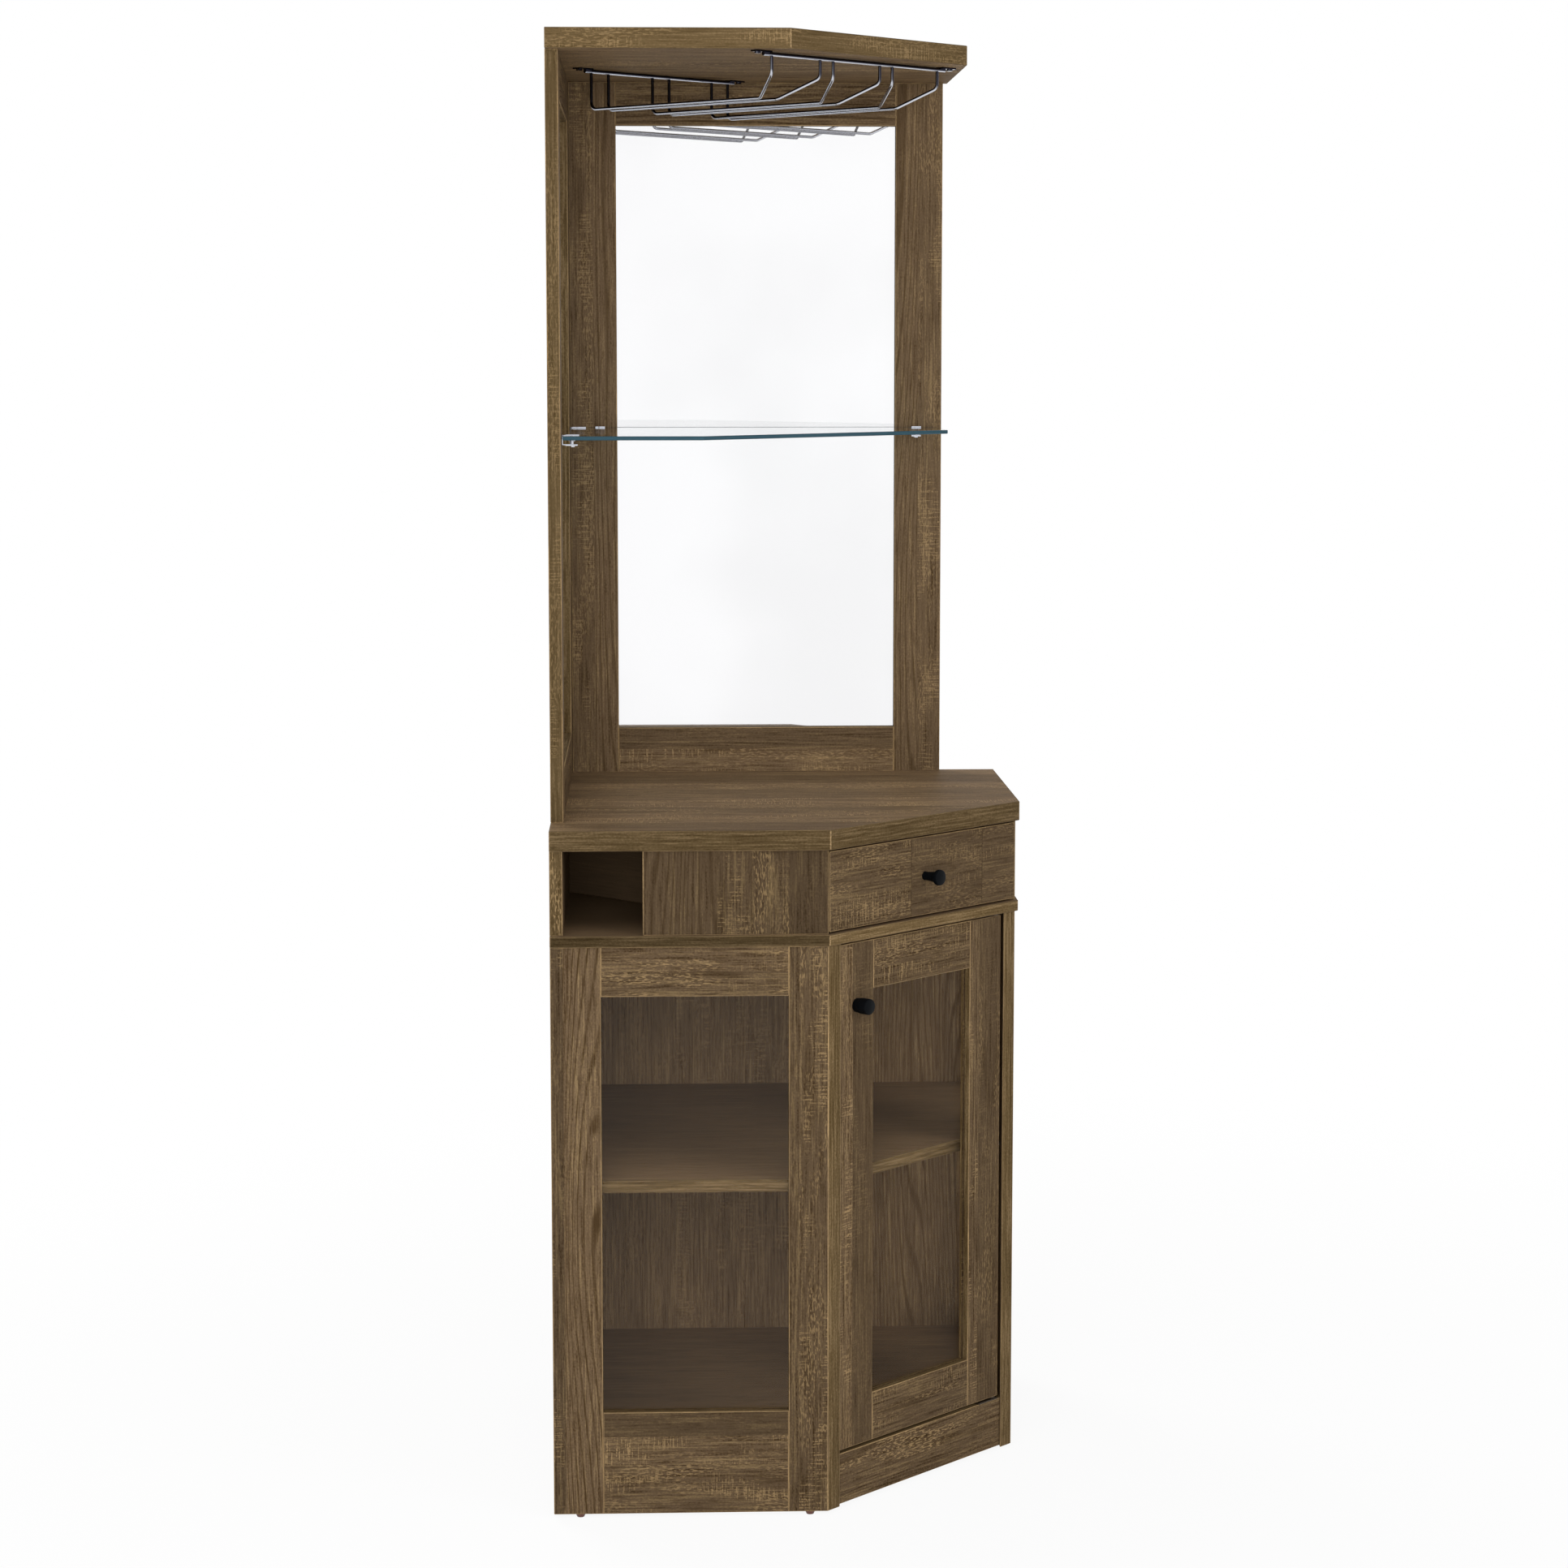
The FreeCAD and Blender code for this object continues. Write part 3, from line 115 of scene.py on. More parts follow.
# Looks of the printed planks: contrast of the grain and amounts of figure, saw marks and wear.
LOOKS = {
    "plain": (0.9, 0.15, 0.15, 0.25),
    "figured": (0.8, 1.0, 0.1, 0.15),
    "sawn": (0.85, 0.1, 1.0, 0.35),
    "worn": (0.9, 0.15, 0.3, 1.0),
    "hatched": (0.82, 0.1, 0.95, 0.8),
    "band": (1.0, 0.25, 0.0, 0.1),
    "soft_plain": (0.65, 0.1, 0.1, 0.2),
    "soft_figured": (0.65, 0.75, 0.05, 0.1),
    "soft_sawn": (0.65, 0.1, 0.3, 0.2),
    "soft_hatched": (0.65, 0.1, 0.6, 0.5),
    "soft_worn": (0.65, 0.1, 0.2, 0.7),
    # The quiet look flattens the grain the way shade does inside the cabinet: painted shade.
    "quiet": (0.45, 0.08, 0.0, 0.08),
    "bare": (0.25, 0.0, 0.0, 0.0),
}

# Planks of each board, from left to right or from top to bottom: share of its width, tone and look.
PLAIN_PLANKS = ((0.3, 1.0, "plain"), (0.25, 0.94, "worn"), (0.45, 1.0, "figured"))
# The inside walls seen through the glass have tones far above the outside boards: painted light standing in
# for light that the interior lacks.
INSIDE_PLANKS_PAINTED_LIGHT = ((0.24, 1.72, "soft_plain"), (0.16, 1.68, "soft_sawn"), (0.25, 1.72, "soft_sawn"),
                 (0.35, 1.66, "soft_figured"))
# The shelf and the floor board inside the cabinet take raised tones, painted light, and the quiet look, whose
# flattened grain is painted shade.
SHELF_PLANKS_PAINTED_LIGHT = ((0.6, 2.0, "quiet"), (0.4, 2.1, "quiet"))
PLANKS = {
    "left_side_wall_stile": ((0.25, 0.66, "sawn"), (0.75, 1.04, "figured")),
    "left_side_corner_stile": ((0.2, 0.72, "plain"), (0.8, 0.76, "hatched")),
    "left_side_top_rail": ((0.5, 0.88, "worn"), (0.5, 0.78, "worn")),
    "left_side_bottom_rail": ((0.24, 0.62, "soft_plain"), (0.28, 0.88, "sawn"), (0.48, 0.82, "hatched")),
    "left_fixed_panel": ((0.4, 0.66, "soft_figured"), (0.18, 0.62, "hatched"), (0.21, 0.6, "worn"),
                         (0.21, 0.52, "soft_plain")),
    # In the dark bay the middle board and the upper wall take raised tones: painted light for the shaded bay.
    "left_partition": ((1.0, 0.85, "bare"),),
    "middle_board": ((1.0, 1.3, "bare"),),
    "left_upper_wall": ((1.0, 1.3, "bare"),),
    "door_knob_stile": ((0.38, 1.06, "sawn"), (0.62, 0.72, "soft_sawn")),
    "door_hinge_stile": ((0.3, 0.94, "sawn"), (0.7, 0.75, "soft_worn")),
    "door_top_rail": ((0.6, 0.83, "hatched"), (0.4, 0.78, "sawn")),
    "door_bottom_rail": ((0.4, 0.82, "sawn"), (0.6, 0.84, "hatched")),
    "plinth": ((0.55, 0.92, "worn"), (0.45, 0.88, "plain")),
    "drawer_front": ((0.425, 0.77, "hatched"), (0.004, 0.5, "plain"), (0.385, 0.72, "soft_hatched"),
                     (0.004, 0.5, "plain"), (0.182, 0.75, "soft_hatched")),
    "right_hutch_corner_stile": ((0.5, 1.08, "soft_hatched"), (0.5, 1.2, "soft_figured")),
    "right_hutch_end_stile": ((0.5, 1.06, "soft_figured"), (0.5, 1.0, "soft_hatched")),
    "right_hutch_bottom_rail": ((0.48, 0.96, "soft_plain"), (0.52, 1.28, "soft_hatched")),
    "left_hutch_end_stile": ((0.3, 1.32, "soft_plain"), (0.7, 1.28, "soft_worn")),
    "counter_top": ((0.1, 1.8, "soft_plain"), (0.13, 1.55, "soft_figured"), (0.12, 1.9, "soft_worn"),
                    (0.15, 1.65, "soft_plain"), (0.14, 1.9, "soft_hatched"), (0.1, 1.55, "soft_worn"),
                    (0.14, 1.85, "soft_hatched"), (0.12, 1.45, "soft_plain")),
    "right_back_wall": INSIDE_PLANKS_PAINTED_LIGHT,
    "left_back_wall": INSIDE_PLANKS_PAINTED_LIGHT[::-1],
    "cabinet_shelf": SHELF_PLANKS_PAINTED_LIGHT,
    "bottom_board": SHELF_PLANKS_PAINTED_LIGHT,
    # The top board shows its underside, whose raised tones are painted light; its upper face keeps the back
    # tone.
    "top_board": ((0.35, 1.55, "plain"), (0.3, 1.5, "worn"), (0.35, 1.55, "figured")),
}
# Banded edges that differ from the rest: the way they face, their tone and look.
PLAIN_BAND = (1.0, "band")
BANDS = {
    "middle_board": ((FRONT, 0.45, "band"), (CORNER, 1.14, "band")),
    "counter_top": ((FRONT, 0.68, "band"), (CORNER, 0.76, "band")),
    "top_board": ((FRONT, 0.96, "soft_hatched"), (CORNER, 0.92, "soft_hatched")),
    "left_side_corner_stile": ((CORNER, 0.98, "band"),),
    "right_side_corner_stile": ((CORNER, 0.98, "band"),),
    "cabinet_shelf": ((FRONT, 1.0, "band"), (CORNER, 1.0, "band")),
    "left_hutch_end_stile": ((FRONT, 0.75, "soft_hatched"),),
    "left_upper_wall": ((FRONT, 0.8, "worn"),),
}
# Boards whose printed planks meet end to end along the grain.
BUTTED = ("drawer_front",)
# Boards whose arrises are no lighter than their bands, and the tone of theirs and of the others; the others'
# lighter arrises are wear together with a painted highlight.
SOFT_EDGED = ("counter_top", "middle_board", "top_board", "cabinet_shelf", "left_partition",
              "right_partition")
SOFT_ARRIS = 0.6
WORN_AND_PAINTED_HIGHLIGHT_ARRIS = 1.2
# The backs of the boards are plain and no lighter than this, which keeps the painted light of the raised
# tones off them.
BACK_TONE = 1.0
# Each board, and each plank of it, takes another spot of the print: steps along the grain in metres, and the
# share of them that it also moves across.
SPOT_STEP = 1.37
PLANK_SPOT = 0.71
SPOT_TURN = 0.433

# Streaks of the oak print: waves per metre along and across the grain, and detail of the noise.
OAK_STREAKS = {
    "fine": (12, 370, 3.0), "broad": (3, 70, 2.0), "cloud": (5, 26, 2.0), "grit": (320, 460, 1.0),
    "field": (1.5, 15, 0.3), "saw": (560, 36, 1.0), "saw_patch": (8, 30, 2.0), "fleck": (130, 540, 1.5),
    "fleck_patch": (7, 40, 2.5), "stain": (8, 50, 1.5), "pores": (40, 420, 1.0),
}
# Levels of the streaks between which a mark of the print comes in.
OAK_LEVELS = {
    "saw": (0.52, 0.6), "saw_patch": (0.48, 0.6), "fleck": (0.52, 0.6), "fleck_patch": (0.45, 0.6),
    "stain": (0.54, 0.7), "pores": (0.54, 0.64),
}
# How far the streaks move the grain between its dark and its light colour, from the level where it rests.
GRAIN_REST = 0.55
GRAIN_SWING = {"fine": 2.4, "broad": 0.7, "cloud": 0.6, "grit": 0.9}
# Figure lines: radians per metre across the grain, how far the field bends them and the fine grain shakes
# them, the levels of a line, and the levels and least share at which the fine grain breaks it.
FIGURE_LINES = 780.0
FIGURE_BEND = 88.0
FIGURE_SHAKE = 2.2
FIGURE_LEVELS = (0.45, 1.0)
FIGURE_BREAKS = (0.38, 0.58, 0.3)
# Levels and least share at which the grit breaks a saw mark.
SAW_BREAKS = (0.36, 0.56, 0.1)
# Strongest cover of each mark over the grain.
STAIN_COVER = 0.5
FIGURE_COVER = 0.95
WEAR_COVER = 0.74
# Gloss of the print, its least roughness, and how much the fine grain adds.
OAK_GLOSS = 0.02
OAK_ROUGHNESS = 0.46
GRAIN_ROUGHNESS = 0.22
# Relief of the print: shares of the fine grain, the saw marks and the sunk figure, then strength and depth.
GRAIN_RELIEF = 0.5
SAW_RELIEF = 0.5
FIGURE_RELIEF = -0.6
OAK_BUMP = 0.25
OAK_DEPTH = 0.0004

# Speckle of the plain finishes: levels between which the gloss turns, and depth of the relief.
SPECKLE_LEVELS = (0.2, 0.8)
SPECKLE_DEPTH = 0.0003
# Chrome: the ways its painted highlight lines face with the levels of each, the scale of its speckle and its
# roughness.
CHROME_PAINTED_HIGHLIGHTS = ((Vector((-0.2, -0.52, -0.83)), 0.48, 0.78), (Vector((-0.3, 0.95, 0.0)), 0.2, 0.7))
CHROME_SCALE = 300.0
CHROME_ROUGHNESS = (0.1, 0.18)
WHITE = (1, 1, 1, 1)

SENSOR_WIDTH = 36
FLOOR_REACH = 12.0
FLOOR_ROUGHNESS = 0.9
# The floor is white far from the cabinet and keeps some shadow near it: distances, then shares of white.
FLOOR_WHITE = (0.5, 2.4, 0.92, 1.0)
LAMP_SIZE = 2.6
LAMP_AIM = Vector((0, 0, 0.95))
LAMPS = {
    "front": (-0.2, -4.4, 1.45),
    "key": (-1.0, -2.6, 4.2),
    "side": (2.6, -2.6, 2.4),
    "rear": (-2.4, 3.2, 2.6),
}


# Settings
def srgb(red, green, blue):
    """A colour as read from a screen, 0 to 255, as linear light."""
    def linear(level):
        level /= 255
        return level / 12.92 if level <= 0.04045 else ((level + 0.055) / 1.055) ** 2.4

    return linear(red), linear(green), linear(blue)


def colour(name, description, default):
    return FloatVectorProperty(name=name, description=description, default=default, size=3,
                               subtype="COLOR", min=0, max=1)


def length(name, description, default):
    return FloatProperty(name=name, description=description, default=default, min=0, unit="LENGTH",
                         precision=4)


def power(name, description, default):
    return FloatProperty(name=name, description=description, default=default, min=0, unit="POWER")


class OakSettings(bpy.types.PropertyGroup):
    """Reclaimed oak laminate"""
    dark: colour("Dark grain", "Colour of the dark grain", srgb(63, 47, 28))
    middle: colour("Middle", "Main colour of the planks", srgb(99, 81, 61))
    light: colour("Light grain", "Colour of the light grain", srgb(128, 107, 77))
    fleck: colour("Flecks", "Colour of the worn flecks and saw marks", srgb(163, 136, 97))
    band: colour("Edge band", "Main colour of the banded edges", srgb(100, 82, 55))
    band_dark: colour("Edge band grain", "Dark grain of the banded edges", srgb(76, 60, 36))
    ease: length("Eased edge", "Width of the eased edges of the boards", 0.001)


class FittingSettings(bpy.types.PropertyGroup):
    """Metal, plastic and glass"""
    # The chrome colours are painted light and shade: the rack runs from its painted shade to chrome, the
    # clips from chrome to their painted highlight.
    chrome: colour("Chrome", "Colour of the chrome plating", srgb(205, 207, 215))
    chrome_painted_shade: colour("Dark chrome", "Colour of the rack's shaded side", srgb(40, 39, 50))
    chrome_painted_highlight: colour("Bright chrome", "Colour of the shelf clips' bright side", srgb(236, 237, 240))
    black: colour("Black metal", "Colour of the knobs", srgb(8, 10, 13))
    zinc: colour("Zinc", "Colour of the slides, the strike and the shelf pins", srgb(176, 178, 180))
    # The hinge plates are dark so that they read as the shaded gap under the door: painted shade.
    dark_zinc: colour("Dark zinc", "Colour of the hinge plates", srgb(58, 47, 35))
    nylon: colour("Nylon", "Colour of the hinge bushes", srgb(64, 51, 38))
    plastic: colour("Brown plastic", "Colour of the glides and the catch", srgb(94, 52, 36))
    board: colour("Hardboard", "Colour of the mirror backings", srgb(120, 92, 62))
    beech: colour("Beech", "Colour of the dowels", srgb(196, 160, 116))
    drawer: colour("Drawer board", "Colour of the drawer's box", srgb(150, 138, 120))
    glass: colour("Pane tint", "Tint of the door and side panes", srgb(251, 250, 248))
    shelf_glass: colour("Shelf glass", "Tint of the glass shelf", srgb(244, 249, 252))
    shelf_edge: colour("Shelf edge", "Colour of the shelf's polished edge", srgb(62, 92, 104))
    mirror: colour("Mirror", "Colour of the silvering", srgb(253, 253, 254))


class RackSettings(bpy.types.PropertyGroup):
    """Stemware rack"""
    wire: length("Wire", "Diameter of the bent wires", 0.004)
    pitch: length("Lane pitch", "Distance between two lanes", 0.112)
    gap: length("Lane gap", "Distance between the two wires of a lane", 0.031)
    mouth: length("Mouth", "Width of a lane's mouth", 0.088)
    drop: length("Drop", "Depth of the lanes under the top board", 0.052)
    mouth_drop: length("Mouth drop", "Depth of the mouths under the top board", 0.027)
    mouth_length: length("Mouth length", "Length of the flared mouths", 0.046)
    bend: length("Bend", "Radius of the bends", 0.009)


class StageSettings(bpy.types.PropertyGroup):
    """Camera, floor and light"""
    camera_place: FloatVectorProperty(name="Camera", description="Place of the camera", size=3,
                                      default=(-0.1722, -4.3985, 1.4447), subtype="TRANSLATION",
                                      unit="LENGTH")
    camera_pitch: FloatProperty(name="Pitch", description="How far the camera looks down", default=0.1151,
                                subtype="ANGLE", unit="ROTATION")
    camera_yaw: FloatProperty(name="Yaw", description="How far the camera turns right", default=0.0384,
                              subtype="ANGLE", unit="ROTATION")
    camera_lens: FloatProperty(name="Lens", description="Focal length on a 36 mm sensor", default=77.9,
                               unit="CAMERA")
    camera_shift: FloatProperty(name="Shift", description="Vertical shift of the lens", default=-0.0248)
    sky: FloatProperty(name="Sky light", description="Strength of the even light", default=0.3, min=0, max=2)
    front: power("Front light", "Power of the soft light beside the camera", 98.0)
    key: power("Key light", "Power of the soft light at the left", 32.0)
    side: power("Side light", "Power of the soft light at the right", 42.0)
    rear: power("Rear light", "Power of the soft light behind", 95.0)
    floor: colour("Floor", "Colour of the floor", (0.97, 0.97, 0.97))


# Shader nodes
def rgba(tint):
    return (*tint, 1.0)


def add(tree, kind, inputs=None, **settings):
    """Adds a node. Settings are its properties; inputs are values or sockets, by name or number."""
    node = tree.nodes.new(kind)
    for key, setting in settings.items():
        setattr(node, key, setting)
    for key, source in (inputs or {}).items():
        if isinstance(source, bpy.types.NodeSocket):
            tree.links.new(source, node.inputs[key])
        else:
            node.inputs[key].default_value = source
    return node


def calc(tree, operation, *values):
    return add(tree, "ShaderNodeMath", dict(enumerate(values)), operation=operation).outputs[0]


def times(tree, first, *others):
    """The product of values or sockets."""
    for other in others:
        first = calc(tree, "MULTIPLY", first, other)
    return first


def ease(tree, level, low, high, start=0.0, end=1.0):
    """A smooth step of a value from low to high."""
    ranges = {"Value": level, "From Min": low, "From Max": high, "To Min": start, "To Max": end}
    return add(tree, "ShaderNodeMapRange", ranges, interpolation_type="SMOOTHSTEP").outputs[0]


def blend(tree, factor, first, second):
    node = add(tree, "ShaderNodeMix", {0: factor, 6: first, 7: second}, data_type="RGBA")
    return node.outputs[2]


def streaks(tree, vector, along, across, detail):
    """Noise drawn out along the grain: along and across are its waves per metre."""
    scale = add(tree, "ShaderNodeVectorMath", {0: vector, 1: (along, across, 1.0)}, operation="MULTIPLY")
    noise = add(tree, "ShaderNodeTexNoise", {"Vector": scale.outputs[0], "Scale": 1.0, "Detail": detail})
    return noise.outputs[0]


def new_group(name, inputs, outputs):
    tree = bpy.data.node_groups.new(name, "ShaderNodeTree")
    for label, kind, default in inputs:
        socket = tree.interface.new_socket(label, in_out="INPUT", socket_type=f"NodeSocket{kind}")
        socket.default_value = default
    for label, kind in outputs:
        tree.interface.new_socket(label, in_out="OUTPUT", socket_type=f"NodeSocket{kind}")
    return tree, tree.nodes.new("NodeGroupInput").outputs, tree.nodes.new("NodeGroupOutput").inputs


def reclaimed_oak():
    """The printed oak: straight grain with figure, saw marks and worn flecks, each by its own amount."""
    name = "Reclaimed Oak"
    if name in bpy.data.node_groups:
        return bpy.data.node_groups[name]
    amounts = [(socket, "Float", 1.0) for socket in PLANK_LAYERS.values()]
    tints = [(tint, "Color", (0, 0, 0, 1)) for tint in OAK_TINTS]
    tree, given, result = new_group(name, [("Grain", "Vector", (0, 0, 0)), *amounts, *tints],
                                    [("Color", "Color"), ("Roughness", "Float"), ("Height", "Float")])
    made = {key: streaks(tree, given["Grain"], *waves) for key, waves in OAK_STREAKS.items()}
    fine = made["fine"]
    marks = {key: ease(tree, made[key], *levels) for key, levels in OAK_LEVELS.items()}

    # Figure: long thin lines, bent by a smooth field into the arches of a flat-sawn board.
    aside = add(tree, "ShaderNodeSeparateXYZ", {0: given["Grain"]}).outputs[1]
    bent = calc(tree, "MULTIPLY_ADD", made["field"], FIGURE_BEND, times(tree, fine, FIGURE_SHAKE))
    waves = calc(tree, "SINE", calc(tree, "MULTIPLY_ADD", aside, FIGURE_LINES, bent))
    figure = times(tree, ease(tree, waves, *FIGURE_LEVELS), given["Figure"], ease(tree, fine, *FIGURE_BREAKS))

    # Saw marks are thin lines across the grain in patches, broken by the grit of the surface.
    broken = ease(tree, made["grit"], *SAW_BREAKS)
    saw = times(tree, marks["saw"], marks["saw_patch"], given["Saw Marks"], broken)

    # Worn flecks lie along the grain in patches, with dark stains between them.
    fleck = times(tree, marks["fleck"], marks["fleck_patch"], given["Wear"])
    stain = times(tree, marks["stain"], given["Wear"])

    # Pores are short dark ticks along the grain.
    pores = times(tree, marks["pores"], given["Contrast"])

    level = GRAIN_REST
    for key, swing in GRAIN_SWING.items():
        level = calc(tree, "MULTIPLY_ADD", calc(tree, "SUBTRACT", made[key], 0.5), swing, level)
    level = calc(tree, "MULTIPLY_ADD", calc(tree, "SUBTRACT", level, 0.5), given["Contrast"], 0.5)
    wood = blend(tree, ease(tree, level, 0.5, 1.0), given["Middle"], given["Light"])
    wood = blend(tree, ease(tree, level, 0.0, 0.5), given["Dark"], wood)
    for mark, cover, tint in ((pores, STAIN_COVER, "Dark"), (stain, STAIN_COVER, "Dark"),
                              (figure, FIGURE_COVER, "Dark"), (saw, WEAR_COVER, "Fleck"),
                              (fleck, WEAR_COVER, "Fleck")):
        wood = blend(tree, times(tree, mark, cover), wood, given[tint])
    toned = add(tree, "ShaderNodeVectorMath", {0: wood, "Scale": given["Tone"]}, operation="SCALE")
    tree.links.new(toned.outputs[0], result["Color"])
    tree.links.new(calc(tree, "MULTIPLY_ADD", fine, GRAIN_ROUGHNESS, OAK_ROUGHNESS), result["Roughness"])
    relief = calc(tree, "MULTIPLY_ADD", figure, FIGURE_RELIEF, times(tree, fine, GRAIN_RELIEF))
    tree.links.new(calc(tree, "MULTIPLY_ADD", saw, SAW_RELIEF, relief), result["Height"])
    return tree


def surface_speckle():
    """Fine unevenness of metal, plastic and board, as a value around one half."""
    name = "Surface Speckle"
    if name in bpy.data.node_groups:
        return bpy.data.node_groups[name]
    tree, given, result = new_group(name, [("Vector", "Vector", (0, 0, 0)), ("Scale", "Float", 400.0)],
                                    [("Value", "Float")])
    noise = add(tree, "ShaderNodeTexNoise",
                {"Vector": given["Vector"], "Scale": given["Scale"], "Detail": 3.0})
    tree.links.new(noise.outputs[0], result["Value"])
    return tree


def speckle(tree, scale):
    place = add(tree, "ShaderNodeTexCoord").outputs["Object"]
    node = add(tree, "ShaderNodeGroup", node_tree=surface_speckle())
    tree.links.new(place, node.inputs["Vector"])
    node.inputs["Scale"].default_value = scale
    return node.outputs["Value"]


def new_material(name):
    material = bpy.data.materials.new(name)
    material.use_nodes = True
    tree = material.node_tree
    return material, tree, tree.nodes["Principled BSDF"]


def raise_bump(tree, shader, height, strength, distance):
    bump = add(tree, "ShaderNodeBump", {"Height": height, "Strength": strength, "Distance": distance})
    tree.links.new(bump.outputs[0], shader.inputs["Normal"])


def oak_material(name, tints):
    """Oak laminate: grain laid by the piece's own map, planks by its own attributes."""
    if name in bpy.data.materials:
        return bpy.data.materials[name]
    material, tree, shader = new_material(name)
    oak = add(tree, "ShaderNodeGroup", node_tree=reclaimed_oak())
    tree.links.new(add(tree, "ShaderNodeUVMap", uv_map="grain").outputs[0], oak.inputs["Grain"])
    for layer, socket in PLANK_LAYERS.items():
        amount = add(tree, "ShaderNodeAttribute", attribute_name=layer)
        tree.links.new(amount.outputs["Fac"], oak.inputs[socket])
    for socket, tint in zip(OAK_TINTS, tints):
        oak.inputs[socket].default_value = rgba(tint)
    tree.links.new(oak.outputs["Color"], shader.inputs["Base Color"])
    tree.links.new(oak.outputs["Roughness"], shader.inputs["Roughness"])
    shader.inputs["Specular IOR Level"].default_value = OAK_GLOSS
    raise_bump(tree, shader, oak.outputs["Height"], OAK_BUMP, OAK_DEPTH)
    return material


def oak_materials(oak):
    """The finishes of a board, in the order of FACE, BAND and ARRIS."""
    return [oak_material("oak_face", (oak.dark, oak.middle, oak.light, oak.fleck)),
            oak_material("oak_band", (oak.band_dark, oak.band, oak.light, oak.fleck)),
            # The arris finish takes lighter tints than the face: wear on the eased edges, partly a painted
            # highlight.
            oak_material("oak_arris", (oak.middle, oak.light, oak.fleck, oak.fleck))]


def plain_material(name, tint, metallic=0.0, roughness=0.4, spread=0.1, scale=400.0, bump=0.1, shade=0.15,
                   spots=None, **values):
    """A finish with a fine speckle in its colour, gloss and relief.

    Spots are the levels of the speckle between which its colour turns.
    """
    if name in bpy.data.materials:
        return bpy.data.materials[name]
    material, tree, shader = new_material(name)
    level = speckle(tree, scale)
    darker = tuple(channel * (1 - shade) for channel in tint)
    amount = ease(tree, level, *spots) if spots else level
    gloss = ease(tree, level, *SPECKLE_LEVELS, roughness - spread / 2, roughness + spread / 2)
    tree.links.new(blend(tree, amount, rgba(darker), rgba(tint)), shader.inputs["Base Color"])
    tree.links.new(gloss, shader.inputs["Roughness"])
    shader.inputs["Metallic"].default_value = metallic
    for key, setting in values.items():
        shader.inputs[key].default_value = setting
    raise_bump(tree, shader, level, bump, SPECKLE_DEPTH)
    return material


def chrome_material(name, dark, bright):
    """Chrome plating with painted highlight lines where it faces the floor and the room, and along the back,
    and its darker colour elsewhere as painted shade.
    """
    if name in bpy.data.materials:
        return bpy.data.materials[name]
    material, tree, shader = new_material(name)
    normal = add(tree, "ShaderNodeTexCoord").outputs["Normal"]
    # Each line is a painted highlight: the colour turns bright by the way the surface faces, in place of
    # reflections.
    lines = []
    for direction, low, high in CHROME_PAINTED_HIGHLIGHTS:
        facing = add(tree, "ShaderNodeVectorMath", {0: normal, 1: direction}, operation="DOT_PRODUCT")
        lines.append(ease(tree, facing.outputs["Value"], low, high))
    line = calc(tree, "MAXIMUM", *lines)
    gloss = ease(tree, speckle(tree, CHROME_SCALE), *SPECKLE_LEVELS, *CHROME_ROUGHNESS)
    tree.links.new(blend(tree, line, rgba(dark), rgba(bright)), shader.inputs["Base Color"])
    tree.links.new(gloss, shader.inputs["Roughness"])
    shader.inputs["Metallic"].default_value = 1.0
    return material


def glass_material(name, tint, clearness=1.0, bending=1.13):
    """Clear glass that lets light through to what stands behind it."""
    if name in bpy.data.materials:
        return bpy.data.materials[name]
    material, tree, shader = new_material(name)
    shader.inputs["Base Color"].default_value = rgba(tint)
    shader.inputs["Transmission Weight"].default_value = clearness
    shader.inputs["Roughness"].default_value = 0.0
    shader.inputs["IOR"].default_value = bending
    path = add(tree, "ShaderNodeLightPath").outputs
    clear = add(tree, "ShaderNodeBsdfTransparent", {"Color": rgba(tint)})
    unseen = calc(tree, "MAXIMUM", path["Is Shadow Ray"], path["Is Diffuse Ray"])
    mix = add(tree, "ShaderNodeMixShader", {0: unseen, 1: shader.outputs[0], 2: clear.outputs[0]})
    tree.links.new(mix.outputs[0], tree.nodes["Material Output"].inputs["Surface"])
    return material


# Meshes
def reach(node, direction):
    """The lowest and highest place of a CAD node along a direction."""
    places = [vert.co.dot(direction) for vert in frame["nodes"][node].data.vertices]
    return min(places), max(places)


def middle(node, direction):
    return sum(reach(node, direction)) / 2


def merged(node):
    """A copy of a CAD node's mesh with its triangles joined into whole faces."""
    bm = bmesh.new()
    bm.from_mesh(frame["nodes"][node].data)
    bmesh.ops.remove_doubles(bm, verts=bm.verts, dist=WELD_DISTANCE)
    bmesh.ops.dissolve_limit(bm, angle_limit=FLAT_ANGLE, verts=bm.verts, edges=bm.edges)
    return bm


def round_over(bm, edges, width):
    """Rounds edges and returns the new faces."""
    made = bmesh.ops.bevel(bm, geom=edges, offset=width, offset_type="OFFSET", segments=EASE_SEGMENTS,
                           profile=0.5, affect="EDGES", clamp_overlap=True, material=-1)
    return made["faces"]


def ease_edges(bm, width, face):
    """Rounds the long sharp edges of a board's front and back and marks the new faces.

    The edges in its joints stay sharp.
    """
    mark = bm.faces.layers.int.new("arris")
    depths = [vert.co.dot(face) for vert in bm.verts]
    skins = (min(depths), max(depths))

    def on_skin(vert):
        return min(abs(vert.co.dot(face) - skin) for skin in skins) < SKIN_DEPTH

    sharp = [edge for edge in bm.edges if edge.is_manifold and edge.calc_face_angle() > ARRIS_ANGLE
             and edge.calc_length() > SHORTEST_ARRIS and all(on_skin(vert) for vert in edge.verts)]
    for arris in round_over(bm, sharp, width):
        arris[mark] = 1


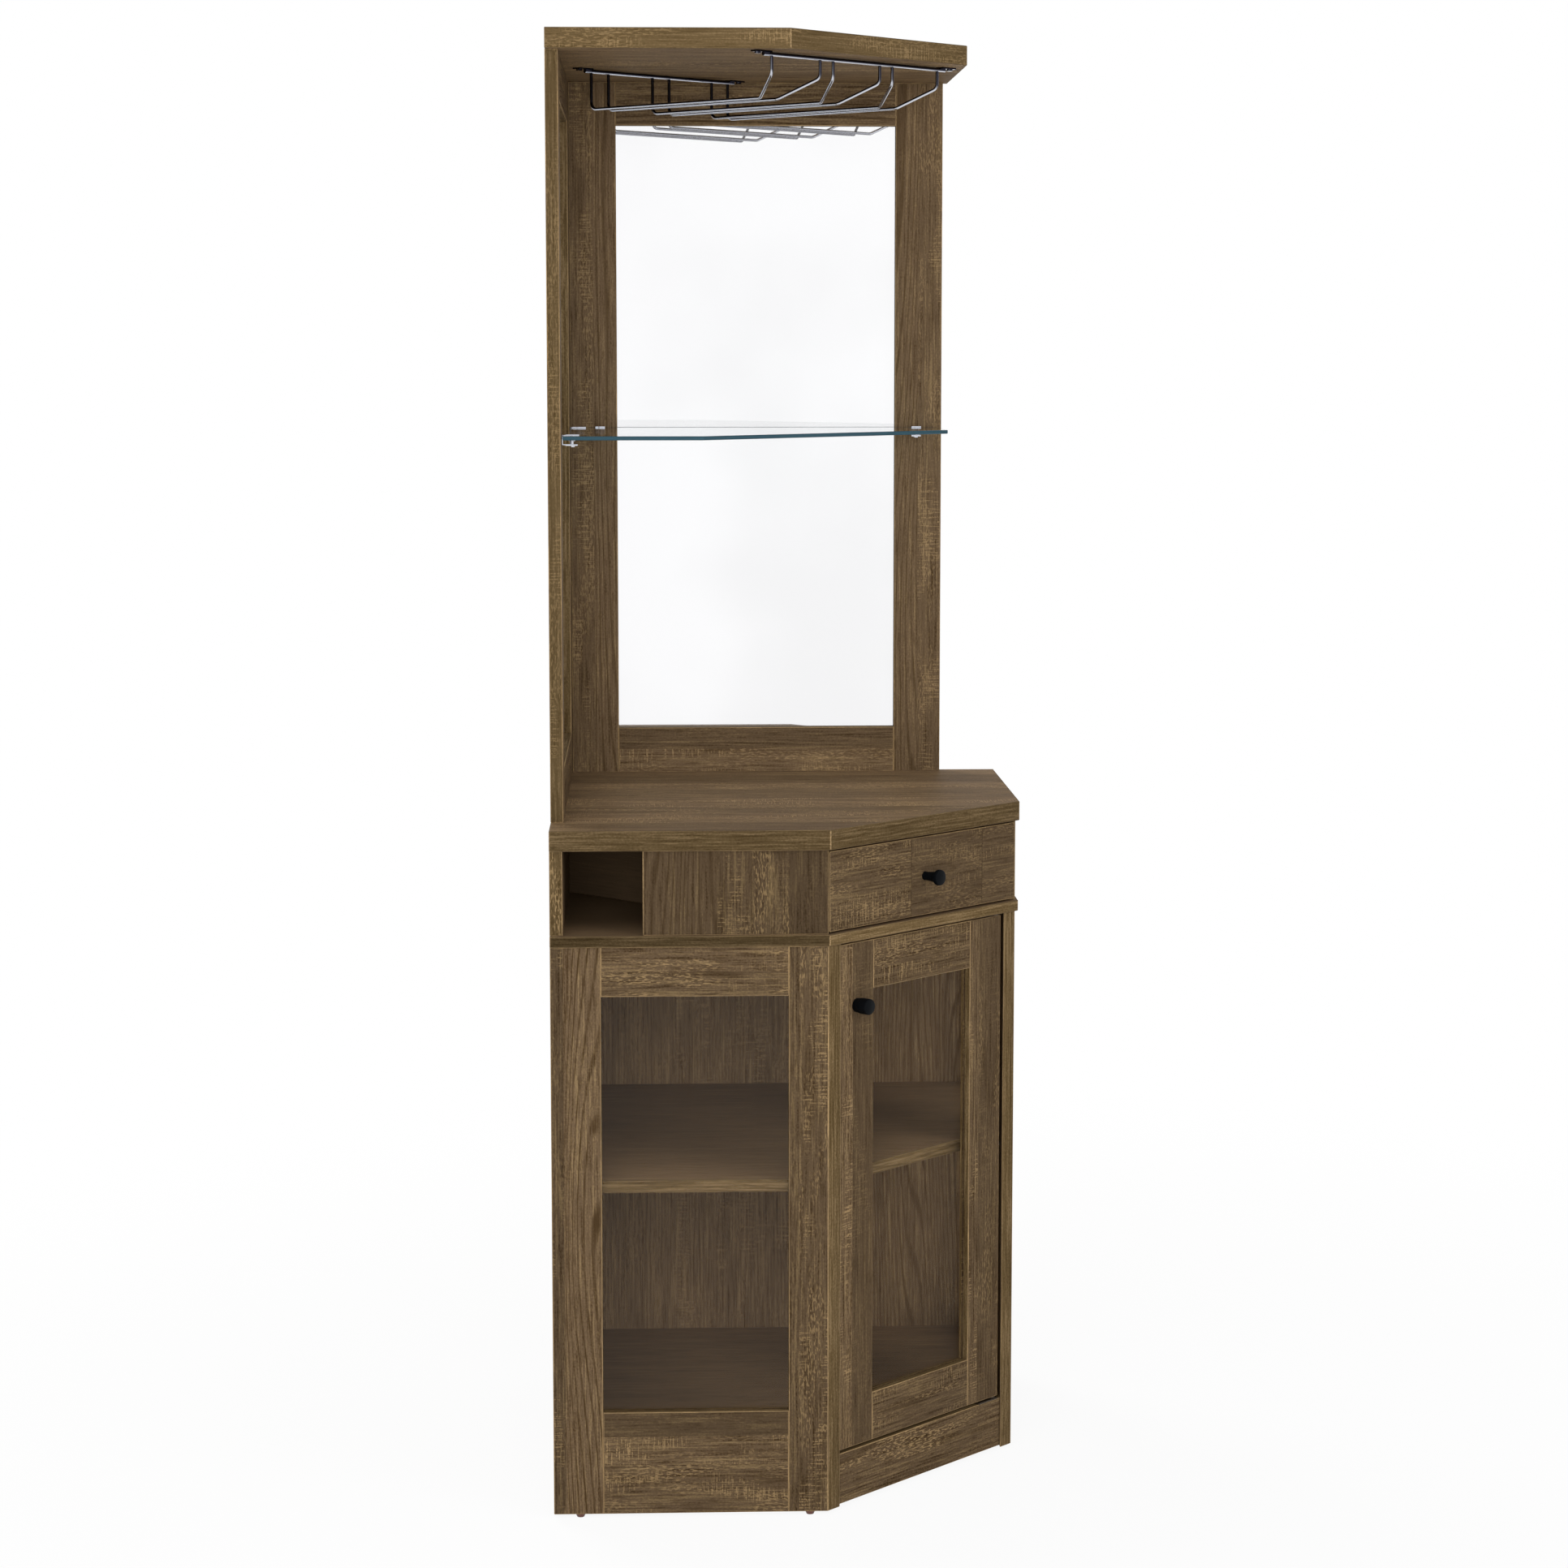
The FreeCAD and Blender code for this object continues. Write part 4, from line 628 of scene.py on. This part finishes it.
def cut_planks(bm, planks, across):
    """Cuts the board's faces where its printed planks meet and returns their far edges."""
    places = [vert.co.dot(across) for vert in bm.verts]
    low, width = min(places), max(places) - min(places)
    ends = [low + width * sum(plank[0] for plank in planks[:count + 1]) for count in range(len(planks))]
    for end in ends[:-1]:
        bmesh.ops.bisect_plane(bm, geom=bm.verts[:] + bm.edges[:] + bm.faces[:], dist=WELD_DISTANCE,
                               plane_co=across * end, plane_no=across)
    return ends


def lay_grain(bm, node, face, grain, spot):
    """Lays a board's planks on its faces, its bands along its edges and on its arrises a tone of their own,
    mostly lighter for wear and a painted highlight.
    """
    across = grain if node in BUTTED else grain.cross(face)
    planks = PLANKS.get(node, PLAIN_PLANKS)
    ends = cut_planks(bm, planks, across)
    uv = bm.loops.layers.uv.new("grain")
    layers = [bm.faces.layers.float.new(layer) for layer in PLANK_LAYERS]
    mark = bm.faces.layers.int["arris"]
    for side in bm.faces:
        tilt = side.normal.dot(face)
        flat = abs(tilt) > FACE_LIMIT
        shift = spot
        if side[mark]:
            finish, look = ARRIS, "band"
            # Most arrises are lighter, for wear and a painted highlight; tilted arrises of soft-edged boards
            # are darker.
            tone = SOFT_ARRIS if node in SOFT_EDGED and abs(tilt) > EDGE_LIMIT else WORN_AND_PAINTED_HIGHLIGHT_ARRIS
        elif flat:
            finish = FACE
            count = sum(side.calc_center_median().dot(across) > end for end in ends[:-1])
            shift += count * PLANK_SPOT
            tone, look = planks[count][1:]
            # Backs keep at most the back tone, so the painted light of raised tones stays on the seen faces.
            if tilt < 0:
                tone, look = min(tone, BACK_TONE), "plain"
        else:
            finish = BAND
            facing = (band[1:] for band in BANDS.get(node, ()) if side.normal.dot(band[0]) > FACE_LIMIT)
            tone, look = next(facing, PLAIN_BAND)
        side.material_index = finish
        for layer, amount in zip(layers, (tone, *LOOKS[look])):
            side[layer] = amount
        along = grain if flat else face.cross(side.normal).normalized()
        aside = side.normal.cross(along)
        for loop in side.loops:
            place = loop.vert.co
            loop[uv].uv = (place.dot(along) + shift, place.dot(aside) + shift * SPOT_TURN)


def islands(bm):
    """The vertices of each loose solid."""
    left = dict.fromkeys(bm.verts)
    while left:
        loose = [left.popitem()[0]]
        for vert in loose:
            for edge in vert.link_edges:
                other = edge.other_vert(vert)
                if other in left:
                    del left[other]
                    loose.append(other)
        yield loose


def spun(bm, profile, place, axis, steps):
    """A turned form: pairs of radius and distance along the axis, swung about it."""
    side = axis.orthogonal().normalized()
    verts = [bm.verts.new(place + axis * along + side * radius) for radius, along in profile]
    edges = [bm.edges.new(pair) for pair in zip(verts, verts[1:])]
    bmesh.ops.spin(bm, geom=verts + edges, cent=place, axis=axis, angle=math.tau, steps=steps, use_merge=True)
    bmesh.ops.remove_doubles(bm, verts=bm.verts, dist=WELD_DISTANCE)
    bmesh.ops.recalc_face_normals(bm, faces=bm.faces)


def ring_at(bm, place, direction, radius):
    """A ring of edges around a wire."""
    turn = direction.to_track_quat("Z", "Y").to_matrix().to_4x4()
    made = bmesh.ops.create_circle(bm, radius=radius, segments=WIRE_SIDES,
                                   matrix=Matrix.Translation(place) @ turn)
    return list({edge for vert in made["verts"] for edge in vert.link_edges})


def extruded(bm, edges, move):
    """Draws a ring of edges out and returns its far end."""
    made = bmesh.ops.extrude_edge_only(bm, edges=edges)["geom"]
    bmesh.ops.translate(bm, vec=move, verts=[item for item in made if isinstance(item, bmesh.types.BMVert)])
    return [item for item in made if isinstance(item, bmesh.types.BMEdge)
            and all(vert in made for vert in item.verts)]


def bent_wire(bm, points, radius, bend):
    """A round wire: straight runs are extruded and bends are spun."""
    place, heading = points[0], (points[1] - points[0]).normalized()
    edges = ring_at(bm, place, heading, radius)
    bmesh.ops.contextual_create(bm, geom=edges)
    for corner, after in zip(points[1:], points[2:]):
        ahead = (after - corner).normalized()
        turn = heading.angle(ahead)
        trim = bend * math.tan(turn / 2)
        edges = extruded(bm, edges, corner - heading * trim - place)
        axis = heading.cross(ahead).normalized()
        centre = corner - heading * trim + axis.cross(heading) * bend
        steps = max(FEWEST_BEND_STEPS, round(turn / BEND_STEP))
        made = bmesh.ops.spin(bm, geom=edges, cent=centre, axis=axis, angle=turn, steps=steps,
                              use_merge=False)
        edges = [item for item in made["geom_last"] if isinstance(item, bmesh.types.BMEdge)]
        place, heading = corner + ahead * trim, ahead
    edges = extruded(bm, edges, points[-1] - place)
    bmesh.ops.contextual_create(bm, geom=edges)


def shade_round(bm):
    """Smooth faces with sharp edges where the surface turns."""
    for face in bm.faces:
        face.smooth = True
    for edge in bm.edges:
        edge.smooth = edge.is_manifold and edge.calc_face_angle() < ROUND_ANGLE


def keep(bm, name, materials, node):
    """Makes the piece that stands for a CAD node and rides on its body."""
    mesh = bpy.data.meshes.new(name)
    bm.to_mesh(mesh)
    bm.free()
    for material in materials:
        mesh.materials.append(material)
    piece = bpy.data.objects.new(name, mesh)
    bpy.context.scene.collection.objects.link(piece)
    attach(piece, frame["nodes"][node]["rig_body"])
    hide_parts(node)


def finish_node(node, material):
    """Gives a CAD node that keeps its shape its finish."""
    slots = frame["nodes"][node].data.materials
    slots.clear()
    slots.append(material)


def boards(context, rows):
    """Makes boards from rows of node, face and grain; each starts at its own spot of the printed oak."""
    oak = context.scene.cabinet_oak
    for node, face, grain in rows:
        bm = merged(node)
        ease_edges(bm, oak.ease, face)
        spot = SPOT_STEP * list(SLOT_OF).index(node)
        lay_grain(bm, node, face, grain, spot)
        keep(bm, f"{node}_oak", oak_materials(oak), node)


# Operators
class CABINET_OT_stage(bpy.types.Operator):
    """Camera, world, floor and the four lamps"""
    bl_idname = "cabinet.stage"
    bl_label = "Stage"

    def execute(self, context):
        scene = context.scene
        stage = scene.cabinet_stage
        scene.view_settings.view_transform = "Standard"
        self.make_camera(scene, stage)
        self.make_world(scene, stage)
        self.make_floor(scene, stage)
        for name, place in LAMPS.items():
            self.make_lamp(scene, name, getattr(stage, name), place)
        return {"FINISHED"}

    def make_camera(self, scene, stage):
        camera = bpy.data.objects.new("camera", bpy.data.cameras.new("camera"))
        scene.collection.objects.link(camera)
        camera.data.sensor_width = SENSOR_WIDTH
        camera.data.lens = stage.camera_lens
        camera.data.shift_y = stage.camera_shift
        camera.location = stage.camera_place
        camera.rotation_euler = (math.pi / 2 - stage.camera_pitch, 0, -stage.camera_yaw)
        scene.camera = camera

    def seen(self, tree):
        """One where a ray comes from the camera, a gloss or through glass."""
        path = add(tree, "ShaderNodeLightPath").outputs
        gloss = calc(tree, "MAXIMUM", path["Is Glossy Ray"], path["Is Transmission Ray"])
        return calc(tree, "MAXIMUM", path["Is Camera Ray"], gloss)

    def make_world(self, scene, stage):
        world = bpy.data.worlds.new("studio")
        world.use_nodes = True
        scene.world = world
        tree = world.node_tree
        light = tree.nodes["Background"]
        light.inputs["Color"].default_value = WHITE
        light.inputs["Strength"].default_value = stage.sky
        white = add(tree, "ShaderNodeBackground", {"Color": WHITE, "Strength": 1.0})
        mix = add(tree, "ShaderNodeMixShader", {0: self.seen(tree), 1: light.outputs[0], 2: white.outputs[0]})
        tree.links.new(mix.outputs[0], tree.nodes["World Output"].inputs["Surface"])

    def make_floor(self, scene, stage):
        material, tree, shader = new_material("pale_floor")
        shader.inputs["Base Color"].default_value = rgba(stage.floor)
        shader.inputs["Roughness"].default_value = FLOOR_ROUGHNESS
        glow = add(tree, "ShaderNodeEmission", {"Color": WHITE, "Strength": 1.0})
        place = add(tree, "ShaderNodeTexCoord").outputs["Object"]
        distance = add(tree, "ShaderNodeVectorMath", {0: place}, operation="LENGTH").outputs["Value"]
        factor = times(tree, self.seen(tree), ease(tree, distance, *FLOOR_WHITE))
        mix = add(tree, "ShaderNodeMixShader", {0: factor, 1: shader.outputs[0], 2: glow.outputs[0]})
        tree.links.new(mix.outputs[0], tree.nodes["Material Output"].inputs["Surface"])
        bm = bmesh.new()
        bmesh.ops.create_grid(bm, x_segments=1, y_segments=1, size=FLOOR_REACH)
        mesh = bpy.data.meshes.new("floor")
        bm.to_mesh(mesh)
        bm.free()
        mesh.materials.append(material)
        floor = bpy.data.objects.new("floor", mesh)
        scene.collection.objects.link(floor)

    def make_lamp(self, scene, name, energy, place):
        lamp = bpy.data.lights.new(name, "AREA")
        lamp.shape = "DISK"
        lamp.size = LAMP_SIZE
        lamp.energy = energy
        light = bpy.data.objects.new(name, lamp)
        light.location = place
        light.rotation_euler = (LAMP_AIM - light.location).to_track_quat("-Z", "Y").to_euler()
        light.visible_camera = light.visible_glossy = light.visible_transmission = False
        scene.collection.objects.link(light)


class CABINET_OT_lower_case(bpy.types.Operator):
    """Oak boards of the lower case and the drawer tier"""
    bl_idname = "cabinet.lower_case"
    bl_label = "Lower Case"

    def execute(self, context):
        rows = []
        for side, out, across, inward, bay in (("left", FRONT, RIGHT, RIGHT, -CUT),
                                               ("right", RIGHT, BACK, FRONT, CUT)):
            rows += [
                (f"{side}_side_wall_stile", out, UP),
                (f"{side}_side_corner_stile", out, UP),
                (f"{side}_side_top_rail", out, across),
                (f"{side}_side_bottom_rail", out, across),
                (f"{side}_fixed_panel", out, UP),
                (f"{side}_back_wall", inward, UP),
                (f"{side}_upper_wall", inward, UP),
                (f"{side}_partition", bay, CORNER),
            ]
        rows += [(node, UP, RIGHT) for node in ("middle_board", "bottom_board", "cabinet_shelf")]
        rows.append(("plinth", CORNER, CUT))
        boards(context, rows)
        return {"FINISHED"}


class CABINET_OT_hutch(bpy.types.Operator):
    """Oak boards of the hutch, with the counter and the top"""
    bl_idname = "cabinet.hutch"
    bl_label = "Hutch"

    def execute(self, context):
        rows = [("counter_top", UP, RIGHT), ("top_board", -UP, RIGHT)]
        for side, inward, across in (("left", RIGHT, BACK), ("right", FRONT, RIGHT)):
            rows += [(f"{side}_hutch_{place}_stile", inward, UP) for place in ("corner", "end")]
            rows += [(f"{side}_hutch_{place}_rail", inward, across) for place in ("top", "bottom")]
        boards(context, rows)
        return {"FINISHED"}


class CABINET_OT_door(bpy.types.Operator):
    """Oak frame of the door"""
    bl_idname = "cabinet.door"
    bl_label = "Door"

    def execute(self, context):
        boards(context, [
            ("door_knob_stile", CORNER, UP), ("door_hinge_stile", CORNER, UP),
            ("door_top_rail", CORNER, CUT), ("door_bottom_rail", CORNER, CUT)])
        return {"FINISHED"}


class CABINET_OT_drawer(bpy.types.Operator):
    """Oak front and plain box of the drawer"""
    bl_idname = "cabinet.drawer"
    bl_label = "Drawer"

    def execute(self, context):
        boards(context, [("drawer_front", CORNER, CUT)])
        lining = plain_material("drawer_lining", context.scene.cabinet_fittings.drawer, scale=900.0,
                                roughness=0.55, shade=0.2)
        for node in ("drawer_left_side", "drawer_right_side", "drawer_back", "drawer_bottom"):
            finish_node(node, lining)
        return {"FINISHED"}


class CABINET_OT_glazing(bpy.types.Operator):
    """Panes, mirrors and the glass shelf"""
    bl_idname = "cabinet.glazing"
    bl_label = "Glazing"

    def execute(self, context):
        fittings = context.scene.cabinet_fittings
        finish_node("side_panes", glass_material("side_glass", fittings.glass, bending=1.2))
        finish_node("door_pane", glass_material("door_glass", fittings.glass, bending=1.1))
        # The silvering's colour has broad soft grey clouds (scale, shade and spots): a painted reflection
        # gradient.
        silver = plain_material("mirror_silver", fittings.mirror, metallic=0.93, roughness=0.02, spread=0.01,
                                scale=1.7, bump=0.0, shade=0.07, spots=(0.32, 0.5))
        for node in ("left_mirror", "right_mirror"):
            finish_node(node, silver)
        bm = merged("glass_shelf")
        ease_edges(bm, context.scene.cabinet_oak.ease, UP)
        # The first finish is for the clear faces and the second for the polished edge.
        for face in bm.faces:
            face.material_index = 0 if abs(face.normal.z) > FACE_LIMIT else 1
        finishes = [glass_material("shelf_glass", fittings.shelf_glass),
                    glass_material("shelf_edge", fittings.shelf_edge, clearness=0.35)]
        keep(bm, "glass_shelf_polished", finishes, "glass_shelf")
        return {"FINISHED"}


class CABINET_OT_rack(bpy.types.Operator):
    """Stemware rack of bent wire, with its bars, screws and the shelf clips"""
    bl_idname = "cabinet.rack"
    bl_label = "Stemware Rack"

    def execute(self, context):
        fittings = context.scene.cabinet_fittings
        plating = chrome_material("chrome_plating", fittings.chrome_painted_shade, fittings.chrome)
        clip_plating = chrome_material("clip_plating", fittings.chrome, fittings.chrome_painted_highlight)
        self.make_wires(context.scene.cabinet_rack, plating)
        for node in ("rack_bars", "rack_screws"):
            bm = merged(node)
            shade_round(bm)
            keep(bm, f"{node}_plated", [plating], node)
        self.make_clamps(clip_plating)
        return {"FINISHED"}

    def make_wires(self, rack, plating):
        """Two bent wires for each of the three lanes, from the rear bar to the mouth at the front bar."""
        under = reach("top_board", UP)[0]
        front = reach("rack_wires", CORNER)[1] - rack.wire / 2
        rear = reach("rack_wires", CORNER)[0] + rack.wire / 2
        weld = UP * reach("rack_wires", UP)[1]
        level, mouth = UP * (under - rack.drop), UP * (under - rack.mouth_drop)
        bm = bmesh.new()
        for lane in (-1, 0, 1):
            for side in (-1, 1):
                inner = CUT * (lane * rack.pitch + side * rack.gap / 2)
                outer = CUT * (lane * rack.pitch + side * rack.mouth / 2)
                points = [inner + CORNER * rear + weld, inner + CORNER * rear + level,
                          inner + CORNER * (front - rack.mouth_length) + level,
                          outer + CORNER * front + mouth, outer + CORNER * front + weld]
                bent_wire(bm, points, rack.wire / 2, rack.bend)
        bmesh.ops.remove_doubles(bm, verts=bm.verts, dist=WELD_DISTANCE)
        bmesh.ops.recalc_face_normals(bm, faces=bm.faces)
        shade_round(bm)
        keep(bm, "rack_wires_bent", [plating], "rack_wires")

    def make_clamps(self, plating):
        """The brackets keep their shape with eased edges, and each screw is turned."""
        bm = merged("glass_shelf_clips")
        screws = []
        for loose in islands(bm):
            width = max(vert.co.x for vert in loose) - min(vert.co.x for vert in loose)
            if width < SCREW_LIMIT:
                screws.append(loose)
        places = []
        for loose in screws:
            centre = sum((vert.co for vert in loose), Vector()) / len(loose)
            places.append(centre.xy.to_3d() + UP * min(vert.co.z for vert in loose))
            bmesh.ops.delete(bm, geom=loose, context="VERTS")
        sharp = [edge for edge in bm.edges if edge.calc_face_angle(0) > ARRIS_ANGLE]
        round_over(bm, sharp, CLAMP_EASE)
        for place in places:
            spun(bm, CLAMP_SCREW, place, UP, SCREW_STEPS)
        shade_round(bm)
        keep(bm, "glass_shelf_clips_plated", [plating], "glass_shelf_clips")


class CABINET_OT_knobs(bpy.types.Operator):
    """Black knobs of the drawer and the door"""
    bl_idname = "cabinet.knobs"
    bl_label = "Knobs"

    def execute(self, context):
        black = plain_material("knob_black", context.scene.cabinet_fittings.black, roughness=0.5, spread=0.1,
                               scale=900.0, bump=0.12, shade=0.3, **{"Specular IOR Level": 0.06})
        for node, front, profile in (("drawer_knob", "drawer_front", DRAWER_KNOB),
                                     ("door_knob", "door_knob_stile", DOOR_KNOB)):
            place = CUT * middle(node, CUT) + CORNER * reach(front, CORNER)[1] + UP * middle(node, UP)
            bm = bmesh.new()
            spun(bm, profile, place, CORNER, KNOB_STEPS)
            shade_round(bm)
            keep(bm, f"{node}_turned", [black], node)
        return {"FINISHED"}


class CABINET_OT_fittings(bpy.types.Operator):
    """Slides, hinges, catch, glides, pins, dowels and mirror backings"""
    bl_idname = "cabinet.fittings"
    bl_label = "Fittings"

    def execute(self, context):
        fittings = context.scene.cabinet_fittings
        zinc = plain_material("zinc_plating", fittings.zinc, metallic=1.0, roughness=0.35, scale=700.0)
        # The hinge plates' dark colour is painted shade, for the shaded gap they show through.
        dark_zinc = plain_material("dark_zinc", fittings.dark_zinc, metallic=0.4, roughness=0.5, scale=700.0)
        nylon = plain_material("bush_nylon", fittings.nylon, roughness=0.5)
        plastic = plain_material("glide_plastic", fittings.plastic, roughness=0.45, scale=900.0)
        hardboard = plain_material("backing_hardboard", fittings.board, roughness=0.75, scale=160.0,
                                   shade=0.5)
        beech = plain_material("dowel_beech", fittings.beech, roughness=0.6, scale=600.0, shade=0.25)
        for node, finish in (("drawer_rails", zinc), ("drawer_runners", zinc), ("hinge_plates", dark_zinc),
                             ("catch_strike", zinc), ("shelf_pins", zinc), ("hinge_bushes", nylon),
                             ("magnet_catch", plastic), ("floor_glides", plastic),
                             ("mirror_backings", hardboard), ("hutch_dowels", beech)):
            finish_node(node, finish)
        return {"FINISHED"}


OPERATORS = (CABINET_OT_stage, CABINET_OT_lower_case, CABINET_OT_hutch, CABINET_OT_door, CABINET_OT_drawer,
             CABINET_OT_glazing, CABINET_OT_rack, CABINET_OT_knobs, CABINET_OT_fittings)
SETTINGS = (("cabinet_oak", OakSettings), ("cabinet_fittings", FittingSettings),
            ("cabinet_rack", RackSettings), ("cabinet_stage", StageSettings))


class CABINET_PT_pieces(bpy.types.Panel):
    """Lists the pieces and their settings"""
    bl_idname = "CABINET_PT_pieces"
    bl_label = "Corner Bar Cabinet"
    bl_space_type = "VIEW_3D"
    bl_region_type = "UI"
    bl_category = "Bar Cabinet"

    def draw(self, context):
        for operator in OPERATORS:
            self.layout.operator(operator.bl_idname)
        for name, settings in SETTINGS:
            box = self.layout.box()
            box.label(text=settings.__doc__)
            for key in settings.__annotations__:
                box.prop(getattr(context.scene, name), key)


def register():
    for name, settings in SETTINGS:
        bpy.utils.register_class(settings)
        setattr(bpy.types.Scene, name, PointerProperty(type=settings))
    for operator in OPERATORS:
        bpy.utils.register_class(operator)
    bpy.utils.register_class(CABINET_PT_pieces)


def unregister():
    bpy.utils.unregister_class(CABINET_PT_pieces)
    for operator in reversed(OPERATORS):
        bpy.utils.unregister_class(operator)
    for name, settings in reversed(SETTINGS):
        delattr(bpy.types.Scene, name)
        bpy.utils.unregister_class(settings)


def main():
    register()
    for operator in OPERATORS:
        group, name = operator.bl_idname.split(".")
        getattr(getattr(bpy.ops, group), name)()


if __name__ == "__main__":
    main()
